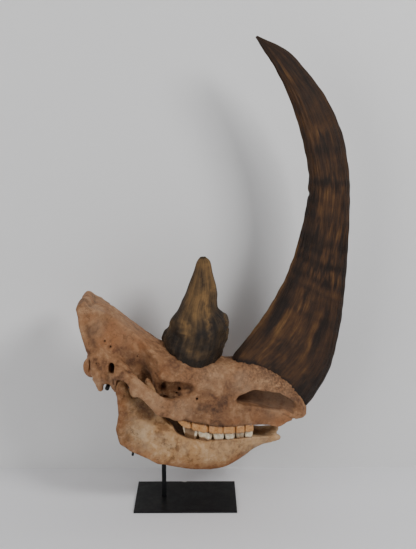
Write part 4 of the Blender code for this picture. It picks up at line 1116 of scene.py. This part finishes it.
def finish(name, roughness, **settings):
    """An empty material: its node tree, its Principled BSDF, and the material."""
    made = bpy.data.materials.new(name)
    made.use_nodes = True
    shader = made.node_tree.nodes["Principled BSDF"]
    shader.inputs["Roughness"].default_value = roughness
    for key, value in settings.items():
        shader.inputs[key.replace("_", " ")].default_value = value
    return made.node_tree, shader, made


def surface(tree, shader, colour, roughness, height, strength, distance):
    """Plugs a material's colour, roughness and relief into its shader."""
    tree.links.new(colour, shader.inputs["Base Color"])
    tree.links.new(roughness, shader.inputs["Roughness"])
    bump = node(tree, "ShaderNodeBump", {"Height": height, "Strength": strength, "Distance": distance})
    tree.links.new(bump.outputs["Normal"], shader.inputs["Normal"])


def attribute(tree, name, output="Fac"):
    """A value that the mesh carries, read in a material."""
    return node(tree, "ShaderNodeAttribute", attribute_name=name).outputs[output]


def dress(obj, look):
    """Gives an object its material."""
    obj.data.materials.clear()
    obj.data.materials.append(look)
    print(obj.name, "wears", look.name)


# %% [markdown]
# ## Shared effects
#
# Four effects serve more than one material here. *Mottle* breaks a surface into soft patches of three
# tones, as mineral water leaves them in buried bone. *Pits* gives the small pores and the grain of old
# surfaces. *Fibres* gives the long fine ridges of horn. *Cracks* gives thin branching lines.

# %% Group: mottle
mottle, given, put = group(
    "mottle",
    [("Point", "Vector", None), ("Patch Size", "Float", 30.0), ("Dark", "Color", None),
     ("Middle", "Color", None), ("Light", "Color", None), ("Contrast", "Float", 1.0)],
    [("Color", "Color"), ("Mask", "Float")],
)
big = noise(mottle, given["Point"], given["Patch Size"], 6, 0.62, 0.6)
small = noise(mottle, given["Point"], times(mottle, given["Patch Size"], 5.3), 5, 0.6, 0.2)
both = plus(mottle, times(mottle, big, 0.6), times(mottle, small, 0.4))
centred = times(mottle, minus(mottle, both, 0.5), given["Contrast"])
low_half = span(mottle, centred, -0.16, 0.0)
high_half = span(mottle, centred, 0.0, 0.16)
tone = mixed(mottle, low_half, given["Dark"], given["Middle"])
mottle.links.new(mixed(mottle, high_half, tone, given["Light"]), put["Color"])
mottle.links.new(both, put["Mask"])

# %% Group: pits
pits, given, put = group(
    "pits",
    [("Point", "Vector", None), ("Scale", "Float", 300.0), ("Depth", "Float", 1.0)],
    [("Height", "Float"), ("Mask", "Float")],
)
cells = node(pits, "ShaderNodeTexVoronoi", {"Vector": given["Point"], "Scale": given["Scale"],
                                            "Randomness": 1.0}, feature="F1").outputs["Distance"]
where = noise(pits, given["Point"], times(pits, given["Scale"], 0.13), 3, 0.6)
pore = times(pits, span(pits, cells, 0.34, 0.1), span(pits, where, 0.45, 0.62))
grain = noise(pits, given["Point"], times(pits, given["Scale"], 1.7), 5, 0.6)
height = minus(pits, times(pits, grain, 0.5), pore)
pits.links.new(times(pits, height, given["Depth"]), put["Height"])
pits.links.new(pore, put["Mask"])

# %% Group: cracks
cracks, given, put = group(
    "cracks",
    [("Point", "Vector", None), ("Scale", "Float", 12.0), ("Thickness", "Float", 0.012)],
    [("Mask", "Float")],
)
finer = times(cracks, given["Scale"], 4.0)
bent = node(cracks, "ShaderNodeTexNoise", {"Vector": given["Point"], "Scale": finer, "Detail": 4.0})
moved = node(cracks, "ShaderNodeMix", {"Factor": 0.05, 4: given["Point"], 5: bent.outputs["Color"]},
             data_type="VECTOR").outputs[1]
edge_of = node(cracks, "ShaderNodeTexVoronoi", {"Vector": moved, "Scale": given["Scale"]},
               feature="DISTANCE_TO_EDGE").outputs["Distance"]
line = maths(cracks, "LESS_THAN", edge_of, given["Thickness"])
some = span(cracks, noise(cracks, given["Point"], times(cracks, given["Scale"], 0.6), 2), 0.5, 0.6)
cracks.links.new(times(cracks, line, some), put["Mask"])

# %% Group: fibres
fibres, given, put = group(
    "fibres",
    [("Fibre", "Vector", None), ("Around", "Float", 30.0), ("Along", "Float", 1.2)],
    [("Streak", "Float"), ("Height", "Float")],
)
stretch = node(fibres, "ShaderNodeCombineXYZ", {"X": given["Around"], "Y": given["Around"],
                                                "Z": given["Along"]}).outputs[0]
place = node(fibres, "ShaderNodeVectorMath", {0: given["Fibre"], 1: stretch}, operation="MULTIPLY").outputs[0]
wide = noise(fibres, place, 0.22, 3, 0.6, 0.1)
fine = noise(fibres, place, 1.0, 4, 0.65, 0.1)
hair = noise(fibres, place, 4.0, 3, 0.6)
fibres.links.new(plus(fibres, times(fibres, wide, 0.55), times(fibres, fine, 0.45)),
                 put["Streak"])
fibres.links.new(plus(fibres, times(fibres, fine, 0.6), times(fibres, hair, 0.4)),
                 put["Height"])

# %% [markdown]
# ## Old bone
#
# The bone has lain in the ground and taken up iron, so it runs from sandy tan to rusty brown. Shade is
# painted into its hollows and creases, it is paler and rubbed on the edges, and it is stained in patches. The
# patches come from the masks stored on the mesh, so they sit where they sit on the real skull; some of them
# are painted shade, and on the septum painted light. Both bones share the network and differ in their
# colours.


# %% Bone materials
# Of the colours, the last one is painted shade for hollows, pores and cracks, and the stain colour also
# paints shade into creases.
def bone_material(name, dark, middle, light, ochre, stain_and_shade, pale, hollow_shade, amounts):
    """amounts: how strongly ochre, pale patches, stains with painted shade, and dark specks show."""
    tree, shader, made = finish(name, 0.72, Specular_IOR_Level=0.22)
    point = node(tree, "ShaderNodeTexCoord").outputs["Object"]
    base = use(tree, mottle, Point=point, Patch_Size=13.0, Dark=dark, Middle=middle, Light=light,
               Contrast=1.5)
    frayed = span(tree, noise(tree, point, 60, 6, 0.7), 0.3, 0.7, 0.5, 1.25)
    colour = base["Color"]
    for mask, tint, strength in zip(("ochre", "pale", "stain_and_shade"), (ochre, pale, stain_and_shade), amounts):
        colour = tinted(tree, colour, times(tree, attribute(tree, mask), frayed), strength, tint)
    speck = span(tree, noise(tree, point, 130, 5, 0.65), 0.56, 0.7, 0.0, amounts[3])
    colour = mixed(tree, speck, colour, stain_and_shade)
    grit = span(tree, noise(tree, point, 260, 4, 0.7), 0.55, 0.72, 0.0, 0.3)
    colour = mixed(tree, grit, colour, light)
    worn = times(tree, attribute(tree, "edge"), span(tree, noise(tree, point, 90, 4), 0.4, 0.65))
    colour = tinted(tree, colour, worn, 0.4, light)
    # Painted shade: creases and hollows are darkened.
    colour = tinted(tree, colour, attribute(tree, "crease_shade"), 0.55, stain_and_shade)
    colour = tinted(tree, colour, attribute(tree, "hollow_shade"), 0.7, hollow_shade)
    pores = use(tree, pits, Point=point, Scale=330.0, Depth=1.0)
    rough_pores = use(tree, pits, Point=point, Scale=150.0, Depth=1.0)
    patchy = span(tree, noise(tree, point, 150, 4, 0.65), 0.42, 0.58)
    rugged = plus(tree, rough_pores["Mask"], times(tree, patchy, 0.7))
    colour = tinted(tree, colour, pores["Mask"], 0.5, hollow_shade)
    colour = tinted(tree, colour, times(tree, rugged, attribute(tree, "rugose")), 0.95, stain_and_shade)
    split = use(tree, cracks, Point=point, Scale=16.0, Thickness=0.014)["Mask"]
    colour = tinted(tree, colour, split, 0.45, hollow_shade)
    roughness = span(tree, base["Mask"], 0.35, 0.65, 0.62, 0.82)
    deeper = span(tree, attribute(tree, "rugose"), 0, 1, 0.5, 3.0)
    height = plus(tree, pores["Height"], times(tree, rough_pores["Height"], deeper))
    surface(tree, shader, colour, roughness, minus(tree, height, split), 0.7, 0.0018)
    return made


dress(cranium, bone_material("cranium_bone_finish", srgb(98, 64, 42), srgb(142, 101, 69), srgb(168, 130, 96),
                             srgb(156, 96, 54), srgb(70, 50, 40), srgb(172, 140, 110), srgb(78, 46, 31),
                             (0.65, 0.6, 1.0, 0.45)))
dress(mandible, bone_material("jaw_bone_finish", srgb(128, 90, 56), srgb(172, 132, 90), srgb(194, 160, 122),
                              srgb(136, 84, 48), srgb(74, 54, 42), srgb(198, 174, 142), srgb(60, 36, 24),
                              (1.0, 0.55, 0.8, 0.3)))

# %% [markdown]
# ## Horn
#
# Horn is made of long fibres glued together. Its colour changes from fibre to fibre, so the pattern follows
# the mesh's own way round and along, which each horn stores as an attribute, and not a direction in space.
# Broad cross bands mark the animal's summers and winters.


# %% Horn materials
def horn_material(name, tints, around, long, contrast, start, shine):
    """Strands and patches add up to one level, and a colour ramp turns the level into the horn's colours."""
    tree, shader, made = finish(name, 0.55, Specular_IOR_Level=0.22)
    point = node(tree, "ShaderNodeTexCoord").outputs["Object"]
    fibre = attribute(tree, "fibre", "Vector")
    strands = use(tree, fibres, Fibre=fibre, Around=around, Along=long)
    patches = noise(tree, point, 22, 5, 0.65, 0.4)
    level = times(tree, minus(tree, strands["Streak"], 0.5), contrast)
    level = plus(tree, level, times(tree, minus(tree, patches, 0.5), 0.5))
    level = plus(tree, level, times(tree, attribute(tree, "tone"), 0.24))
    level = plus(tree, level, start)
    ramp = node(tree, "ShaderNodeValToRGB", {"Fac": level})
    stops = ramp.color_ramp.elements
    stops[0].position, stops[0].color = tints[0]
    stops[1].position, stops[1].color = tints[-1]
    for position, colour in tints[1:-1]:
        stops.new(position).color = colour
    roughness = span(tree, level, 0.2, 0.8, shine, shine + 0.2)
    worn = use(tree, pits, Point=point, Scale=240.0, Depth=0.6)
    height = plus(tree, times(tree, strands["Height"], 1.8), worn["Height"])
    surface(tree, shader, ramp.outputs["Color"], roughness, height, 0.7, 0.002)
    return made


dress(nasal_horn, horn_material(
    "dark_horn_finish",
    [(0.05, srgb(24, 18, 15)), (0.32, srgb(38, 28, 22)), (0.5, srgb(60, 42, 30)), (0.66, srgb(80, 55, 35)),
     (0.82, srgb(106, 76, 46)), (0.97, srgb(128, 98, 62))], 34.0, 34.0, 1.2, 0.49, 0.5))
dress(frontal_horn, horn_material(
    "olive_horn_finish",
    [(0.05, srgb(20, 16, 13)), (0.28, srgb(36, 28, 21)), (0.44, srgb(64, 50, 35)), (0.6, srgb(98, 76, 50)),
     (0.78, srgb(128, 98, 62)), (0.95, srgb(152, 120, 78))], 20.0, 10.0, 0.9, 0.55, 0.55))

# %% [markdown]
# ## Teeth
#
# The upper teeth are stained orange by the ground, with dark lines where they touch. The lower ones kept
# more of their white enamel. Tooth is shinier than bone, so its roughness is lower.


# %% Tooth materials
def tooth_material(name, dark, middle, light, root, bite):
    """Enamel in three tones, with its own tints for the root and for the worn, bare places."""
    tree, shader, made = finish(name, 0.38, Specular_IOR_Level=0.5)
    point = node(tree, "ShaderNodeTexCoord").outputs["Object"]
    up = attribute(tree, "height")
    up = plus(tree, up, times(tree, minus(tree, noise(tree, point, 90, 5, 0.65), 0.5), 0.5))
    bare = attribute(tree, "bare")
    base = use(tree, mottle, Point=point, Patch_Size=55.0, Dark=dark, Middle=middle, Light=light,
               Contrast=1.1)
    colour = mixed(tree, span(tree, up, 0.55, 0.3, 0.0, 0.9), base["Color"], root)
    colour = tinted(tree, colour, bare, 0.9, bite)
    colour = mixed(tree, span(tree, up, 0.93, 1.02, 0.0, 0.6), colour, bite)
    worn = use(tree, pits, Point=point, Scale=420.0, Depth=0.7)
    colour = tinted(tree, colour, worn["Mask"], 0.5, root)
    split = use(tree, cracks, Point=point, Scale=70.0, Thickness=0.02)["Mask"]
    colour = tinted(tree, colour, split, 0.5, root)
    roughness = plus(tree, span(tree, base["Mask"], 0.35, 0.65, 0.34, 0.55), times(tree, bare, 0.3))
    surface(tree, shader, colour, roughness, worn["Height"], 0.4, 0.001)
    return made


upper_look = tooth_material("upper_tooth_finish", srgb(150, 100, 56), srgb(186, 134, 82), srgb(204, 160, 108),
                            srgb(92, 60, 38), srgb(120, 84, 56))
lower_look = tooth_material("lower_tooth_finish", srgb(176, 144, 106), srgb(222, 204, 172),
                            srgb(246, 236, 212), srgb(124, 90, 62), srgb(112, 79, 45))
for upper, look in ((True, upper_look), (False, lower_look)):
    for one in teeth[upper]:
        dress(one, look)

# %% [markdown]
# ## The stand
#
# Plate, post and rods are steel, sprayed a satin black. Paint on steel is nearly even, with a faint grain
# and one small pale spot on the plate's rear edge. A dark surface shows its form mostly by what it reflects,
# so the roughness varies too. The CAD nodes already have the right shape, and only get this finish.

# %% Black paint
tree, shader, paint = finish("black_paint_finish", 0.42, Specular_IOR_Level=0.28)
point = node(tree, "ShaderNodeTexCoord").outputs["Object"]
cloud = use(tree, mottle, Point=point, Patch_Size=18.0, Dark=srgb(9, 9, 10), Middle=srgb(13, 13, 15),
            Light=srgb(19, 19, 21), Contrast=1.0)
speckle = use(tree, pits, Point=point, Scale=500.0, Depth=0.4)
colour = tinted(tree, cloud["Color"], speckle["Mask"], 0.15, srgb(70, 68, 66))
# A small near-white spot is painted on the plate's rear edge.
PALE_SPOT_PLACE, PALE_SPOT_SHAPE = (-0.007, 0.110, 0.004), (0.6, 1.0, 1.4)
away = node(tree, "ShaderNodeVectorMath", {0: point, 1: PALE_SPOT_PLACE}, operation="SUBTRACT").outputs[0]
away = node(tree, "ShaderNodeVectorMath", {0: away, 1: PALE_SPOT_SHAPE}, operation="MULTIPLY").outputs[0]
reach = node(tree, "ShaderNodeVectorMath", {0: away}, operation="LENGTH").outputs["Value"]
reach = plus(tree, reach, times(tree, noise(tree, point, 240, 4, 0.6), 0.008))
colour = mixed(tree, span(tree, reach, 0.0105, 0.0085), colour, srgb(196, 192, 188))
roughness = span(tree, cloud["Mask"], 0.35, 0.65, 0.44, 0.58)
surface(tree, shader, colour, roughness, speckle["Height"], 0.25, 0.0005)
for name in ("base_plate", "post", "skull_bracket", "jaw_bracket"):
    dress(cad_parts[name], paint)

# %% [markdown]
# ## Floor, wall and light
#
# The skull stands on a pale floor, close in front of a pale wall, and is lit softly from the upper right.
# Large area lights give the broad, faint shadows on the wall. The wall's far side is clear, so that a
# camera behind it still sees the skull. The room isn't part of the object.


# %% Room
FLOOR_HALF, WALL_HALF, WALL_TOP = 6, 3, 3
WALL_Y = 0.235
AIM = (0.1, 0, 0.6)


def sheet(name, corners, colour, roughness):
    """A flat stage rectangle from its four corners in metres, and the nodes of its plain material."""
    look = bpy.data.materials.new("pale_" + name)
    look.use_nodes = True
    shader = look.node_tree.nodes["Principled BSDF"]
    shader.inputs["Base Color"].default_value = (*colour, 1)
    shader.inputs["Roughness"].default_value = roughness
    mesh = bpy.data.meshes.new(name)
    mesh.from_pydata(corners, [], [(0, 1, 2, 3)])
    mesh.materials.append(look)
    obj = bpy.data.objects.new(name, mesh)
    bpy.context.scene.collection.objects.link(obj)
    return look.node_tree


def area_light(name, place, aim, size, power):
    """A square light that faces the point it aims at."""
    data = bpy.data.lights.new(name, "AREA")
    data.size, data.energy = size, power
    obj = bpy.data.objects.new(name, data)
    obj.location = place
    obj.rotation_euler = (Vector(aim) - Vector(place)).to_track_quat("-Z", "Y").to_euler()
    bpy.context.scene.collection.objects.link(obj)


sheet("floor", [(-FLOOR_HALF, -FLOOR_HALF, 0), (FLOOR_HALF, -FLOOR_HALF, 0), (FLOOR_HALF, FLOOR_HALF, 0),
                (-FLOOR_HALF, FLOOR_HALF, 0)], (0.86, 0.86, 0.88), 0.6)
tree = sheet("wall", [(-WALL_HALF, WALL_Y, 0), (WALL_HALF, WALL_Y, 0), (WALL_HALF, WALL_Y, WALL_TOP),
                      (-WALL_HALF, WALL_Y, WALL_TOP)], (0.8, 0.8, 0.8), 0.9)
seen_from = node(tree, "ShaderNodeNewGeometry").outputs["Backfacing"]
clear = node(tree, "ShaderNodeBsdfTransparent").outputs["BSDF"]
painted = tree.nodes["Principled BSDF"].outputs["BSDF"]
either = node(tree, "ShaderNodeMixShader", {0: seen_from, 1: painted, 2: clear}).outputs["Shader"]
tree.links.new(either, tree.nodes["Material Output"].inputs["Surface"])
area_light("key", (2.1, -1.9, 2.4), AIM, 0.9, 72)
area_light("fill", (-2.4, -2.6, 1.8), AIM, 2.5, 62)
area_light("top", (-1.2, -0.7, 3.0), (-1.0, WALL_Y, 1.5), 1.2, 9)
world = bpy.data.worlds.new("studio")
world.use_nodes = True
world.node_tree.nodes["Background"].inputs["Color"].default_value = (0.8, 0.8, 0.82, 1)
world.node_tree.nodes["Background"].inputs["Strength"].default_value = 0.04
bpy.context.scene.world = world
